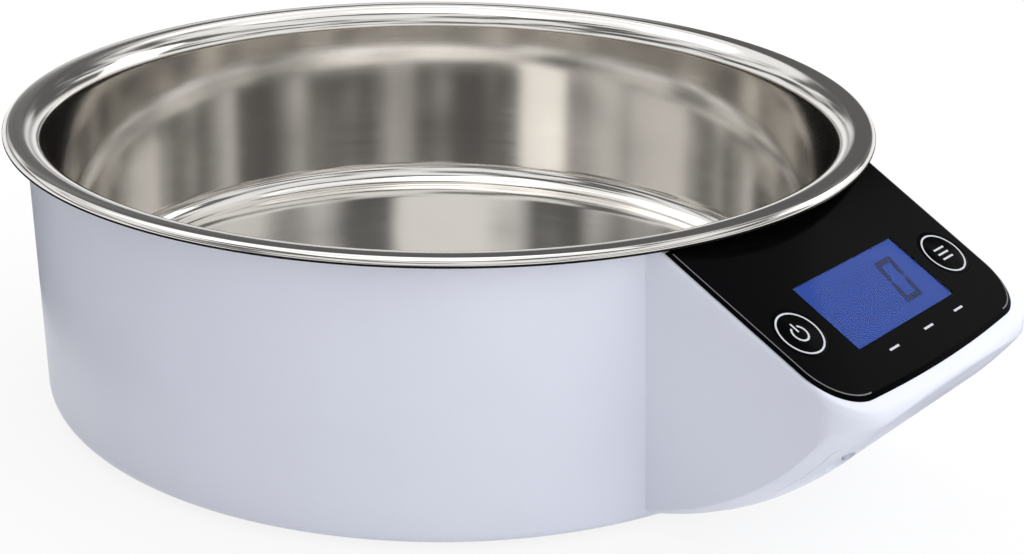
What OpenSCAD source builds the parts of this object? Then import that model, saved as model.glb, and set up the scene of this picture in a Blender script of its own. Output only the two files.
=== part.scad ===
// Pet food bowl scale: a lift-out steel bowl in a round housing with a sloping display nose.
// Every piece is drawn around the bowl's axis and then moved so that the origin lies on the
// table below the middle of the whole object. +Z is up and the nose points along -Y.

/* [Bowl] */
// Height from the table to the crest of the bowl's rim
total_h = 72; // [71:0.5:78]
// Outer diameter of the rolled rim
rim_d = 220; // [212:1:232]
// Height of the bowl's floor above the table
floor_z = 17; // [16.5:0.1:20]
// Thickness of the steel sheet
sheet_t = 0.8; // [0.6:0.1:1]
// Width of the rim from the inner wall to its outer edge
flange_w = 10.1; // [9.5:0.1:12]
// Radius where the wall bends over into the rim
flange_r = 6; // [4:0.5:6.5]
// Outer radius of the rolled edge
roll_r = 1.8; // [1.7:0.1:2.2]
// Height of the rolled edge below the crest
lip_h = 2.1; // [2:0.1:2.3]
// Radius between the wall and the floor
corner_r = 6; // [4:0.5:10]
// How much smaller the wall's radius is at the floor
bowl_draft = 1.2; // [0.5:0.1:3]

/* [Housing] */
// Wall of the housing
wall_t = 2.2; // [1.8:0.1:2.6]
// Gap between the bowl's wall and the housing
well_gap = 1.6; // [1.2:0.1:3]
// Gap between the rolled edge and the top of the housing
lip_gap = 0.7; // [0.6:0.1:1.2]
// How much smaller the housing's radius is at its foot
body_draft = 1; // [0.5:0.1:2]
// Edge radius around the housing's foot
foot_edge_r = 3; // [1:0.5:4]
// Height of the housing's lower edge above the table
skirt_z = 1.5; // [1:0.1:1.8]
// Thickness of the deck under the bowl
deck_t = 1.8; // [1.5:0.1:2]

/* [Nose] */
// How far the nose reaches past the rim
nose_out = 40.5; // [38:0.5:46]
// Half width of the nose where it leaves the housing
nose_half_root = 41.6; // [41.4:0.1:42]
// Half width of the nose at its tip
nose_half_tip = 40.5; // [40:0.1:41]
// Half width of the nose between its leaning sides, at the table's level
nose_half_foot = 37.2; // [37:0.1:37.6]
// How far the nose's sides lean out over a height of 100 mm
nose_lean = 6.6; // [6.4:0.1:7]
// Corner radius of the nose seen from above
nose_corner_r = 12; // [10:0.5:13]
// How far the front edge bulges at its middle
nose_bulge = 1; // [0.75:0.25:1.5]
// Height of the underside where it leaves the housing
keel_root_z = 1.6; // [1.6:0.1:2.2]
// Height of the front edge above the curved underside at the tip
front_h = 1.36; // [1.26:0.1:1.96]
// Radius of the curved underside
keel_r = 93; // [91:1:97]
// Rounding along both sides of the underside
keel_edge_r = 14.7; // [13.7:0.1:15.2]
// Rounding under the front edge
front_r = 4.5; // [4:0.1:4.5]

/* [Display] */
// Slope of the display panel
panel_tilt = 27.2; // [26:0.2:28]
// How far the panel lies below the rim's crest where it meets the housing
panel_drop = 4.2; // [4:0.1:4.6]
// Thickness of the panel
panel_t = 2; // [1.8:0.1:2.4]
// White border around the part of the panel that is let in
panel_border = 2; // [1.8:0.1:2.3]
// How far the panel stands above its border
panel_proud = 1.2; // [1:0.1:1.3]
// Width of the display window
window_w = 42; // [38:1:43]
// Height of the display window
window_h = 19.4; // [17:0.2:21]
// Distance of the window's centre down the slope
window_drop = 26.6; // [25.8:0.1:27.4]
// Distance of each key from the middle
key_x = 31.2; // [30.9:0.1:31.4]
// Radius of a key's cap
key_r = 6.8; // [6:0.1:6.8]
// Travel of a key
key_travel = 0.6; // [0.3:0.1:0.8]

/* [Scale works] */
// Radius of the weighing platform
platform_r = 62; // [50:1:75]
// Thickness of the weighing platform
platform_t = 2.2; // [2:0.1:2.4]
// Travel of the platform under full load
platform_travel = 0.5; // [0.3:0.1:0.6]
// Length of the load cell
cell_l = 47; // [45:1:55]
// Width of the load cell
cell_w = 12; // [11:0.5:14]
// Height of the load cell
cell_h = 6; // [5:0.1:6.2]
// Height of a rubber foot
foot_h = 2.6; // [2.5:0.1:3]
// Radius of a rubber foot
foot_r = 9; // [6:0.5:12]
// Distance of the feet from the bowl's axis
foot_reach = 74; // [66:1:78]
// Thickness of the base plate
base_t = 2; // [1.8:0.1:2.2]

/* [Batteries] */
// Diameter of a battery
battery_d = 10.5; // [10:0.1:10.8]
// Length of a battery with its nub
battery_l = 44.5; // [43:0.1:45]
// Thickness of the battery door
door_t = 1.6; // [1.4:0.1:1.7]
// Width of the battery door
door_w = 54; // [53:0.5:56]
// How far the battery door swings open
door_swing = 80; // [45:5:90]

/* [Hidden] */

$fn = 48;
round_fn = 144;   // facets of the large turned pieces
small_fn = 24;    // facets of screws and pins
arc_steps = 8;    // steps of a quarter bend in a drawn outline
over = 1;         // how far a cut runs past the face that it opens
fit_gap = 0.25;   // gap between moulded pieces that sit in each other
hair_gap = 0.12;  // gap between the panel and what lies in it
print_gap = 0.3;  // gap between soft or sliding faces

// Where the bowl's axis lies, so that the object is centred on the origin
rim_r = rim_d / 2;
nose_reach = rim_r + nose_out;
bowl_y = (nose_reach - rim_r) / 2;
panel_root_z = total_h - panel_drop;

// Bowl
bowl_top_r = rim_r - flange_w;
bowl_foot_r = bowl_top_r - bowl_draft;
bowl_under_z = floor_z - sheet_t;
hem_t = 2 * sheet_t;

// Housing
lip_z = total_h - lip_h;
body_top_z = lip_z - lip_gap;
body_in_top_r = bowl_top_r + sheet_t + well_gap;
body_top_r = body_in_top_r + wall_t;
body_foot_r = body_top_r - body_draft;
body_in_foot_r = body_foot_r - wall_t;
skirt_in_r = body_foot_r - max(wall_t, foot_edge_r) - 0.6;
top_edge_r = 0.8;

// Stack from the table up to the bowl
foot_recess = 0.6;
base_z = foot_h - foot_recess;
base_top_z = base_z + base_t;
cell_stand_h = 1.5;
cell_z = base_top_z + cell_stand_h;
cell_top_z = cell_z + cell_h;
pad_r = 6;
pad_h = 1;
pad_recess = 0.4;
pad_reach = 46;
platform_top_z = bowl_under_z - (pad_h - pad_recess);
platform_z = platform_top_z - platform_t;
splash_lip_h = 0.4;
deck_clear = 0.2;
deck_top_z = platform_z - platform_travel - deck_clear - splash_lip_h;
deck_z = deck_top_z - deck_t;
cell_opening_gap = 2;
boss_l = 14;
cell_hole_reach = [cell_l / 2 - 3.3, cell_l / 2 - 10.7];

// Screws
screw_r = 1.2;
pilot_r = 1.25;
pass_r = 1.6;
head_r = 2.8;
head_h = 1;
head_gap = 0.3;
base_screw_n = 6;
base_screw_reach = body_foot_r - 13.5;
base_post_r = 3.4;

// Nose
nose_root = body_top_r - 15;
front_steps = 8;
keel_root = body_foot_r - 6.5;
keel_tip_z = face_z(nose_reach) - front_h;
keel_dy = nose_reach - keel_root;
keel_dz = keel_tip_z - keel_root_z;
keel_chord = norm([keel_dy, keel_dz]);
keel_a = atan2(keel_dz, keel_dy);
keel_half_turn = asin(keel_chord / 2 / keel_r);
keel_sag = keel_r * (1 - cos(keel_half_turn));
keel_mid = [(keel_root + nose_reach) / 2, (keel_root_z + keel_tip_z) / 2];
keel_centre = keel_mid + (keel_r - keel_sag) * [-sin(keel_a), cos(keel_a)];
keel_half = nose_half_root + 2;
rim_half = nose_half_tip - 0.1;
nose_cut_w = keel_half + 6;
roof_t = 1.6;
adhesive_t = 0.3;
rim_bevel = 1.6;
rim_front = (nose_reach - 0.9 - body_top_r) / cos(panel_tilt);
panel_inner_r = body_top_r + 0.7;

// Display stack, measured down from the panel's face
glass_top = panel_t + 0.2;
glass_t = 1.8;
glass_w = window_w + 3;
glass_h = window_h + 4;
holder_top = glass_top + glass_t;
board_top = 6.9;
board_t = 1.6;
switch_size = 6;
board_w = 2 * (key_x + switch_size / 2 + 1.3);
board_h = 27;
holder_wall = 2.2;
strip_w = 1.2;
light_t = 2.2;
roof_top = panel_t + adhesive_t;
roof_bottom = roof_top + roof_t;
key_flange_r = key_r + 0.5;
key_flange_t = 0.6;
key_relief_r = key_flange_r + 0.4;
post_r = 2;
switch_h = 3.1;
plunger_r = 1.6;
plunger_l = 1.6;
plunger_top = board_top - switch_h - 0.8;
board_post_r = 2.4;
board_post_x = board_w / 2 - 3.5;
board_post_drop = [window_drop - 11, window_drop + 11];

// Battery bay, in the frame of the underside's chord
battery_r = battery_d / 2;
battery_pitch = battery_d + 0.7;
plate_t = 0.4;
spring_l = 3.7;
bay_y = -2.5;
bay_l = battery_l + spring_l + 2 * plate_t;
bay_h = 2 * battery_pitch;
bay_wall = 1.3;
battery_lift = keel_in(bay_y - battery_pitch / 2, door_t) + print_gap + battery_r;
bay_top = battery_lift + battery_r + 0.6;
tab_h = bay_wall + 2;

// Battery door on two pins at its outer edge
hinge_r = 1.4;
pin_r = 0.9;
pin_gap = 0.06;
pin_l = 1.6;
hinge_y = bay_y - bay_h / 2 - 3.4;
hinge_z = keel_in(hinge_y, hinge_r + 0.1);
door_end = bay_y + bay_h / 2 + 3.2;
cover_t = 2 * hinge_r + 0.1 + print_gap + 1.1;

// Depth of a face a given distance under the curved underside, at y along the chord
function keel_in(y, depth) = keel_r - keel_sag - sqrt(pow(keel_r - depth, 2) - y * y);

// Leads
lead_r = 1.2;
wire_r = 0.6;
lead_sides = 8;

function arc(c, r, a0, a1, n = arc_steps) =
    [for (i = [0 : n]) let (a = a0 + (a1 - a0) * i / n) c + r * [cos(a), sin(a)]];

// Moves a piece from the bowl's axis to the object's origin
module at_bowl_axis() {
    translate([0, bowl_y, 0]) children();
}

// Frame on the panel's face: x across, y up the slope, z out of the face
module on_panel() {
    translate([0, -body_top_r, panel_root_z])
        rotate([panel_tilt, 0, 0]) children();
}

// Frame on the chord of the underside: y back towards the bowl, z into the nose
module on_keel() {
    translate([0, -keel_mid[0], keel_mid[1]])
        rotate([-keel_a, 0, 0]) children();
}

module block(size, at) {
    translate([at[0] - size[0] / 2, at[1] - size[1] / 2, at[2]]) cube(size);
}

// Outline of the nose seen from above, drawn in by a given inset
module nose_plan(inset) {
    tip_x = nose_half_tip - inset;
    root_x = nose_half_root - inset;
    r = nose_corner_r - inset;
    front = -(nose_reach - nose_bulge) + inset;
    corner = [tip_x - r, front + r];
    side_a = atan2(root_x - tip_x, nose_reach - nose_root);
    right = arc(corner, r, side_a, -90 + 2 * nose_bulge);
    bulge_pts = [for (i = [1 : front_steps - 1])
        let (u = 1 - 2 * i / front_steps)
        [corner[0] * u, front - nose_bulge * (1 - u * u)]];
    left = [for (i = [len(right) - 1 : -1 : 0]) [-right[i][0], right[i][1]]];
    polygon(concat([[root_x, -nose_root]], right, bulge_pts, left, [[-root_x, -nose_root]]));
}

// Side view of the nose, as [distance from the axis, height], for a given drop below the panel's face
function face_z(s, drop = 0) =
    panel_root_z - (s - body_top_r) * tan(panel_tilt) - drop / cos(panel_tilt);

// The nose as a block from the table up to a height, with its sides leaning out
module nose_prism(inset, h) {
    foot = nose_half_foot - inset;
    top = foot + nose_lean / 100 * (h + over);
    intersection() {
        linear_extrude(h) nose_plan(inset);
        translate([0, -nose_root + over, 0]) rotate([90, 0, 0]) linear_extrude(nose_reach - nose_root + 2 * over)
            polygon([[-foot, 0], [foot, 0], [top, h + over], [-top, h + over]]);
    }
}

// Disc with rounded edges whose rim is the curved underside, drawn in by a depth
module keel_hull(depth) {
    r = keel_r - depth;
    w = keel_half - depth;
    c = keel_edge_r - depth;
    translate([0, -keel_centre[0], keel_centre[1]]) rotate([0, 90, 0]) rotate_extrude($fn = round_fn)
        polygon(concat([[0, -w]], arc([r - c, c - w], c, -90, 0), arc([r - c, w - c], c, 0, 90), [[0, w]]));
}

// Side view of the rounding under the front edge, and on along it down to the table
function front_edge() =
    let (s = nose_reach + over - front_r, across = s - keel_centre[0],
        f = [s, keel_centre[1] - sqrt(pow(keel_r - front_r, 2) - across * across)],
        a = atan2(f[1] - keel_centre[1], across) + 3)
    concat(arc(f, front_r, 0, a), [f + front_r * [cos(a), sin(a)] + 60 * [sin(a), -cos(a)]]);

module side_cut(pts) {
    translate([-nose_cut_w, 0, 0]) rotate([90, 0, 90])
        linear_extrude(2 * nose_cut_w) polygon([for (p = pts) [-p[0], p[1]]]);
}

module nose_outer() {
    intersection() {
        nose_prism(0, body_top_z);
        keel_hull(0);
        side_cut(concat([[nose_root, face_z(nose_root, panel_proud)],
            [nose_reach + over, face_z(nose_reach + over, panel_proud)]], front_edge(),
            [[keel_root + 6, -40], [keel_root - 1, keel_root_z + 0.6], [nose_root, keel_root_z + 0.6]]));
    }
}

// The housing's outer form without the nose
module body_outer() {
    side = (body_top_r - body_foot_r) / (body_top_z - skirt_z);
    rotate_extrude($fn = round_fn)
        polygon(concat([[0, skirt_z]],
            arc([body_foot_r + side * foot_edge_r - foot_edge_r, skirt_z + foot_edge_r], foot_edge_r, -90, 0),
            arc([body_top_r - top_edge_r, body_top_z - top_edge_r], top_edge_r, 0, 90, 4),
            [[0, body_top_z]]));
}

module body_hollow(z0, z1) {
    slope = (body_in_top_r - body_in_foot_r) / (body_top_z - skirt_z);
    translate([0, 0, z0]) cylinder(h = z1 - z0, r1 = body_in_foot_r + slope * (z0 - skirt_z),
        r2 = body_in_foot_r + slope * (z1 - skirt_z), $fn = round_fn);
}

// Room inside the nose, under its roof and outside the round housing
module nose_cavity() {
    difference() {
        intersection() {
            nose_prism(wall_t, total_h);
            side_cut([[nose_root, face_z(nose_root, roof_bottom)],
                [nose_reach, face_z(nose_reach, roof_bottom)], [nose_reach, -over], [nose_root, -over]]);
        }
        body_outer();
    }
}

// A vertical prism under the panel's outline, between two depths below its face
module panel_layer(inset, top, bottom) {
    intersection() {
        difference() {
            nose_prism(inset, inset > panel_border ? body_top_z : total_h + over);
            translate([0, 0, -over]) cylinder(h = total_h + 3 * over,
                r = panel_inner_r - (inset > panel_border ? 0 : fit_gap), $fn = round_fn);
        }
        side_cut([[nose_root, face_z(nose_root, top)], [nose_reach + over, face_z(nose_reach + over, top)],
            [nose_reach + over, face_z(nose_reach + over, bottom)], [nose_root, face_z(nose_root, bottom)]]);
    }
}

module at_keys() {
    for (side = [-1, 1]) on_panel() translate([side * key_x, -window_drop, 0]) children();
}

module at_board_posts() {
    for (x = [-board_post_x, board_post_x]) for (drop = board_post_drop)
        on_panel() translate([x, -drop, 0]) children();
}

module at_base_screws() {
    for (i = [0 : base_screw_n - 1])
        rotate([0, 0, 360 * i / base_screw_n]) translate([base_screw_reach, 0, 0]) children();
}

module at_feet() {
    for (a = [45 : 90 : 315]) rotate([0, 0, a]) translate([foot_reach, 0, 0]) children();
}

// The two screws of the nose cover stand upright near the corners of the tip
cover_screw_x = nose_half_tip - wall_t - 6.5;
cover_screw_s = nose_reach - 10;
cover_seat_z = keel_tip_z - 8.3;
cover_post_r = 3;
cover_cup_t = 1.4;
module at_cover_screws() {
    for (x = [-cover_screw_x, cover_screw_x]) translate([x, -cover_screw_s, 0]) children();
}

// A pan-head screw that points up from its head at z = 0
module screw_up(length) {
    cylinder(h = head_h, r = head_r, $fn = small_fn);
    cylinder(h = length, r = screw_r, $fn = small_fn);
}

// A tube of round section along a list of points
module lead_tube(pts, r) {
    n = len(pts);
    function dir(i) = let (a = pts[max(0, i - 1)], b = pts[min(n - 1, i + 1)]) (b - a) / norm(b - a);
    function side(d) = abs(d[0]) > 0.9 ? [0, 1, 0] : [1, 0, 0];
    rings = [for (i = [0 : n - 1]) let (d = dir(i), u = cross(d, side(d)), un = u / norm(u), vn = cross(d, un))
        for (k = [0 : lead_sides - 1]) let (a = 360 * k / lead_sides)
            pts[i] + r * (cos(a) * un + sin(a) * vn)];
    walls = [for (i = [0 : n - 2]) for (k = [0 : lead_sides - 1])
        let (a = i * lead_sides + k, b = i * lead_sides + (k + 1) % lead_sides)
        each [[a, a + lead_sides, b], [b, a + lead_sides, b + lead_sides]]];
    start_cap = [[for (k = [0 : lead_sides - 1]) k]];
    end_cap = [[for (k = [lead_sides - 1 : -1 : 0]) (n - 1) * lead_sides + k]];
    polyhedron(rings, concat(walls, start_cap, end_cap));
}

// Lift-out bowl, spun from one sheet, with a hemmed edge
module steel_bowl() {
    food_side = concat([[0, floor_z]],
        arc([bowl_foot_r - corner_r, floor_z + corner_r], corner_r, -90, 0),
        arc([bowl_top_r + flange_r, total_h - flange_r], flange_r, 180, 90),
        arc([rim_r - roll_r, total_h - roll_r], roll_r, 90, 0), [[rim_r, lip_z]]);
    under_side = concat([[rim_r - hem_t, lip_z], [rim_r - hem_t, total_h - sheet_t - 0.2],
        [rim_r - hem_t - 0.2, total_h - sheet_t]],
        arc([bowl_top_r + flange_r, total_h - flange_r], flange_r - sheet_t, 90, 180),
        arc([bowl_foot_r - corner_r, floor_z + corner_r], corner_r + sheet_t, 0, -90),
        [[0, bowl_under_z]]);
    color("silver") at_bowl_axis()
        rotate_extrude($fn = round_fn) polygon(concat(food_side, under_side));
}

// Moulded housing: round wall, deck under the bowl, and the nose with its roof
module housing() {
    color("whitesmoke") at_bowl_axis() difference() {
        union() {
            difference() {
                union() {
                    body_outer();
                    nose_outer();
                }
                body_hollow(deck_top_z, total_h);
                translate([0, 0, -over]) cylinder(h = deck_z + over, r = skirt_in_r, $fn = round_fn);
                nose_cavity();
            }
            splash_lip();
            at_base_screws() translate([0, 0, base_top_z])
                cylinder(h = deck_z - base_top_z + over / 2, r = base_post_r);
            at_cover_screws() cover_post();
            at_board_posts() translate([0, 0, -board_top])
                cylinder(h = board_top - roof_bottom + roof_t / 2, r = board_post_r);
        }
        deck_opening();
        panel_layer(panel_border, -over, roof_top);
        at_base_screws() translate([0, 0, base_top_z - over])
            cylinder(h = deck_z - base_top_z + over, r = pilot_r, $fn = small_fn);
        at_cover_screws() translate([0, 0, cover_seat_z])
            cylinder(h = 8, r = pilot_r, $fn = small_fn);
        at_board_posts() translate([0, 0, -board_top - over])
            cylinder(h = board_top - roof_bottom + over, r = pilot_r, $fn = small_fn);
        at_keys() translate([0, 0, -roof_bottom - over])
            cylinder(h = roof_bottom + over, r = key_relief_r);
        on_panel() block([glass_w + 2 * fit_gap, glass_h + 2 * fit_gap, roof_bottom],
            [0, -window_drop, -roof_bottom - over]);
        lead_slot();
    }
}

// Low lip around the deck's opening, which keeps drips out
module splash_lip() {
    block([cell_w + 2 * (cell_opening_gap + 1.4), cell_l + 2 * (cell_opening_gap + 1.4),
        splash_lip_h + deck_t / 2], [0, 0, deck_top_z - deck_t / 2]);
}

module deck_opening() {
    block([cell_w + 2 * cell_opening_gap, cell_l + 2 * cell_opening_gap, deck_t + splash_lip_h + 2 * over],
        [0, 0, deck_z - over]);
}

// Post for a screw of the nose cover, from the roof down to the cover
module cover_post() {
    top = face_z(cover_screw_s, roof_bottom);
    translate([0, 0, cover_seat_z + cover_cup_t])
        cylinder(h = top - cover_seat_z - cover_cup_t + over, r = cover_post_r);
}

// Way for the load cell's lead from under the deck into the nose
lead_slot_h = 3;
lead_slot_z = deck_z - lead_slot_h - 0.3;
board_under = board_top + board_t;
module lead_slot() {
    block([8, 4 * wall_t + foot_edge_r, lead_slot_h], [0, -body_foot_r, lead_slot_z]);
}

// Round base plate with its screw seats, foot recesses, ribs and the load cell's stand
module base_plate() {
    rib_n = 12;
    rib_t = 1.2;
    rib_h = 2;
    rib_in = 36;
    rib_out = 60;
    plate_r = skirt_in_r - fit_gap;
    color("gainsboro") at_bowl_axis() difference() {
        union() {
            translate([0, 0, base_z]) cylinder(h = base_t, r = plate_r, $fn = round_fn);
            block([cell_w + 2, boss_l, cell_stand_h + base_t / 2],
                [0, (cell_l - boss_l) / 2, base_top_z - base_t / 2]);
            for (i = [0 : rib_n - 1]) rotate([0, 0, 15 + 360 * i / rib_n])
                block([rib_out - rib_in, rib_t, rib_h + base_t / 2], [(rib_in + rib_out) / 2, 0, base_top_z - base_t / 2]);
        }
        at_feet() translate([0, 0, base_z - over]) cylinder(h = foot_recess + over, r = foot_r + hair_gap);
        at_base_screws() {
            translate([0, 0, base_z - over]) cylinder(h = base_t + 2 * over, r = pass_r, $fn = small_fn);
            translate([0, 0, base_z - over]) cylinder(h = head_h + 0.1 + over, r = head_r + head_gap);
        }
        for (y = cell_hole_reach) translate([0, y, base_z - over]) {
            cylinder(h = base_t + cell_stand_h + 2 * over, r = pass_r, $fn = small_fn);
            cylinder(h = head_h + 0.1 + over, r = head_r + head_gap);
        }
    }
}

module base_screws() {
    color("dimgray") at_bowl_axis() at_base_screws()
        translate([0, 0, base_z + 0.1]) screw_up(deck_z - base_z - 0.4);
}

module rubber_feet() {
    edge = 0.5;
    color("darkslategray") at_bowl_axis() at_feet()
        rotate_extrude() polygon([[0, 0], [foot_r - edge, 0], [foot_r, edge], [foot_r, foot_h], [0, foot_h]]);
}

// Platform that the bowl stands on, with the boss that bolts to the load cell's free end
module weighing_platform() {
    skirt = 0.4;
    color("white") at_bowl_axis() difference() {
        union() {
            translate([0, 0, platform_z]) cylinder(h = platform_t, r = platform_r, $fn = round_fn);
            block([cell_w, boss_l, platform_z - cell_top_z + platform_t / 2],
                [0, -(cell_l - boss_l) / 2, cell_top_z]);
        }
        at_pads() translate([0, 0, platform_top_z - pad_recess])
            cylinder(h = pad_recess + over, r = pad_r + hair_gap);
        for (y = cell_hole_reach) translate([0, -y, 0]) {
            translate([0, 0, cell_top_z - over])
                cylinder(h = platform_top_z - cell_top_z + 2 * over, r = pass_r, $fn = small_fn);
            translate([0, 0, platform_top_z - head_h - skirt])
                cylinder(h = head_h + skirt + over, r = head_r + head_gap);
        }
    }
}

module at_pads() {
    for (a = [45 : 90 : 315]) rotate([0, 0, a]) translate([pad_reach, 0, 0]) children();
}

module platform_pads() {
    color("lightgray") at_bowl_axis() at_pads()
        translate([0, 0, platform_top_z - pad_recess]) cylinder(h = pad_h, r = pad_r);
}

// Screws from the platform down into the load cell's free end
module platform_screws() {
    seat = platform_top_z - 0.4 - head_h;
    color("silver") at_bowl_axis() for (y = cell_hole_reach)
        translate([0, -y, seat + head_h]) mirror([0, 0, 1]) screw_up(seat + head_h - cell_z - 1);
}

// Aluminium beam, thinned by two joined bores where its gauges sit
module load_cell() {
    neck_r = 2.2;
    neck_y = 4.2;
    color("lightsteelblue") at_bowl_axis() difference() {
        block([cell_w, cell_l, cell_h], [0, 0, cell_z]);
        for (y = [-neck_y, neck_y]) translate([-cell_w / 2 - over, y, cell_z + cell_h / 2])
            rotate([0, 90, 0]) cylinder(h = cell_w + 2 * over, r = neck_r);
        block([cell_w + 2 * over, 2 * neck_y, 1.2], [0, 0, cell_z + cell_h / 2 - 0.6]);
        for (side = [-1, 1]) for (y = cell_hole_reach)
            translate([0, side * y, cell_z - over])
                cylinder(h = cell_h + 2 * over, r = pilot_r, $fn = small_fn);
    }
}

// Screws from under the base up into the load cell's fixed end
module load_cell_screws() {
    color("dimgray") at_bowl_axis() for (y = cell_hole_reach)
        translate([0, y, base_z + 0.1]) screw_up(cell_z + cell_h - 1 - base_z);
}

// Soft cover over the strain gauges, on the beam's top face
seal_l = 14;
seal_h = 0.9;
module gauge_seal() {
    color("white") at_bowl_axis() block([cell_w - 2, seal_l, seal_h], [0, 2, cell_top_z]);
}

// Lead from the gauges through the slot in the housing to the main board
module load_cell_lead() {
    slot_mid = lead_slot_z + lead_slot_h / 2;
    run_z = cell_z + 1.6;
    rise_y = -body_top_r - 1.4;
    near = -cell_l / 2;
    far = -body_foot_r + 3;
    x = cell_w / 2;
    in_y = sin(panel_tilt);
    in_z = -cos(panel_tilt);
    color("gray") at_bowl_axis() lead_tube([
        [x, 2, run_z], [x + 3, 2, run_z], [x + 5, 0.5, run_z], [x + 5.5, -4, run_z],
        [x + 4.5, near + 4, run_z], [x, near - 14, run_z], [x / 2, (near + far) / 2, run_z],
        [1, far + 18, slot_mid - 0.5], [0, far + 6, slot_mid],
        [0, -body_foot_r - 0.5, slot_mid], [0, rise_y + 0.5, slot_mid + 0.9], [0, rise_y, slot_mid + 2.7],
        [0, rise_y, slot_mid + 6], [0, rise_y, socket_z - 12], [0, rise_y - 1, socket_z - 8],
        [0, socket_y + 4.6 * in_y, socket_z + 4.6 * in_z], [0, socket_y + 2.5 * in_y, socket_z + 2.5 * in_z],
        [0, socket_y + 0.1 * in_y, socket_z + 0.1 * in_z]], lead_r);
}

// Outline of the panel's proud part in the frame of its face
function rim_points() =
    let (r = nose_corner_r - 0.5, x = rim_half - r,
        right = arc([x, r + nose_bulge - rim_front], r, 0, -90 + 2 * nose_bulge))
    concat([[rim_half, 12]], right, [for (i = [1 : front_steps - 1]) let (u = 1 - 2 * i / front_steps)
        [x * u, nose_bulge * u * u - rim_front]],
        [for (i = [len(right) - 1 : -1 : 0]) [-right[i][0], right[i][1]]], [[-rim_half, 12]]);

// Part of the panel that stands above its border, with a bevelled edge
module panel_rim() {
    w = rim_half;
    front = rim_front;
    h = panel_proud;
    intersection() {
        difference() {
            on_panel() intersection() {
                translate([0, 0, hair_gap - h]) linear_extrude(h - hair_gap) polygon(rim_points());
                translate([0, 30, 0]) rotate([90, 0, 0]) linear_extrude(35 + front)
                    polygon([[-w, -h], [w, -h], [w - 2 * rim_bevel, h], [2 * rim_bevel - w, h]]);
                translate([-w - 1, 0, 0]) rotate([90, 0, 90]) linear_extrude(2 * w + 2)
                    polygon([[-front, -h], [2 * rim_bevel - front, h], [30, h], [30, -h]]);
            }
            translate([0, 0, -over]) cylinder(h = total_h + 3 * over, r = panel_inner_r, $fn = round_fn);
        }
        block([2 * nose_cut_w, nose_reach, body_top_z], [0, -nose_reach / 2, 0]);
    }
}

module display_panel() {
    color([0.03, 0.03, 0.035]) at_bowl_axis() difference() {
        union() {
            panel_layer(panel_border + hair_gap, panel_proud / 2, panel_t);
            panel_rim();
        }
        on_panel() block([window_w, window_h, panel_t + 2 * over], [0, -window_drop, -panel_t - over]);
        at_keys() translate([0, 0, -panel_t - over]) cylinder(h = panel_t + 2 * over, r = key_r + hair_gap);
    }
}

module display_window() {
    color([0.3, 0.4, 0.8, 0.4]) at_bowl_axis() on_panel()
        block([window_w - hair_gap, window_h - hair_gap, panel_t], [0, -window_drop, -panel_t]);
}

// Double-sided tape under the panel, open at the glass and the keys
module panel_adhesive() {
    color("dimgray") at_bowl_axis() difference() {
        panel_layer(panel_border + 0.5, panel_t, roof_top);
        on_panel() block([glass_w + 1, glass_h + 1, 3 * panel_t], [0, -window_drop, -2 * panel_t]);
        at_keys() translate([0, 0, -2 * panel_t]) cylinder(h = 3 * panel_t, r = key_relief_r + 0.3);
    }
}

module lcd_glass() {
    color([0.25, 0.38, 0.8]) at_bowl_axis() on_panel()
        block([glass_w, glass_h, glass_t], [0, -window_drop, -holder_top]);
}

// Frame between the glass and the board
module lcd_holder() {
    h = board_top - holder_top;
    color("white") at_bowl_axis() on_panel() difference() {
        block([glass_w, glass_h, h], [0, -window_drop, -board_top]);
        block([glass_w - 2 * holder_wall, glass_h - 2 * holder_wall, h + 2 * over],
            [0, -window_drop, -board_top - over]);
        for (side = [-1, 1]) block([strip_length() + 0.2, strip_w + 0.1, h + 2 * over],
            [0, -window_drop + side * (glass_h - holder_wall) / 2, -board_top - over]);
    }
}

function strip_length() = glass_w - 6;

// Rubber strips that join the glass to the board
module contact_strips() {
    color("hotpink") at_bowl_axis() on_panel() for (side = [-1, 1])
        block([strip_length(), strip_w, board_top - holder_top],
            [0, -window_drop + side * (glass_h - holder_wall) / 2, -board_top]);
}

module backlight() {
    color("aliceblue") at_bowl_axis() on_panel()
        block([glass_w - 2 * holder_wall - 0.4, glass_h - 2 * holder_wall - 0.4, light_t],
            [0, -window_drop, -holder_top - light_t]);
}

module main_board() {
    color("seagreen") at_bowl_axis() difference() {
        on_panel() block([board_w, board_h, board_t], [0, -window_drop, -board_under]);
        at_board_posts() translate([0, 0, -board_under - over])
            cylinder(h = board_t + 2 * over, r = pass_r, $fn = small_fn);
    }
}

module board_screws() {
    color("silver") at_bowl_axis() at_board_posts()
        translate([0, 0, -board_under - head_h]) screw_up(head_h + board_under - roof_bottom - 0.6);
}

chip_drop = window_drop - 4;
module board_chips() {
    color([0.1, 0.1, 0.1]) at_bowl_axis() on_panel() {
        translate([-board_w / 6, -chip_drop, -board_under - 1.4]) cylinder(h = 1.4, r = board_h / 4.5);
        block([4, 2, 1.2], [board_w / 9, -window_drop - board_h * 0.3, -board_under - 1.2]);
        block([2, 1.2, 0.9], [board_w / 5, -window_drop + board_h / 3, -board_under - 0.9]);
        block([3.2, 5, 1.6], [-board_w / 3, -window_drop + board_h / 9, -board_under - 1.6]);
    }
}

// Socket under the board where the load cell's lead ends
socket_h = 3;
socket_drop = window_drop - 9;
socket_size = 6;
socket_y = -body_top_r - (socket_drop * cos(panel_tilt)) + (board_under + socket_h) * sin(panel_tilt);
socket_z = panel_root_z - socket_drop * sin(panel_tilt) - (board_under + socket_h) * cos(panel_tilt);
module lead_socket() {
    color("ivory") at_bowl_axis() on_panel()
        block([socket_size + 4, socket_size, socket_h], [0, -socket_drop, -board_under - socket_h]);
}

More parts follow.
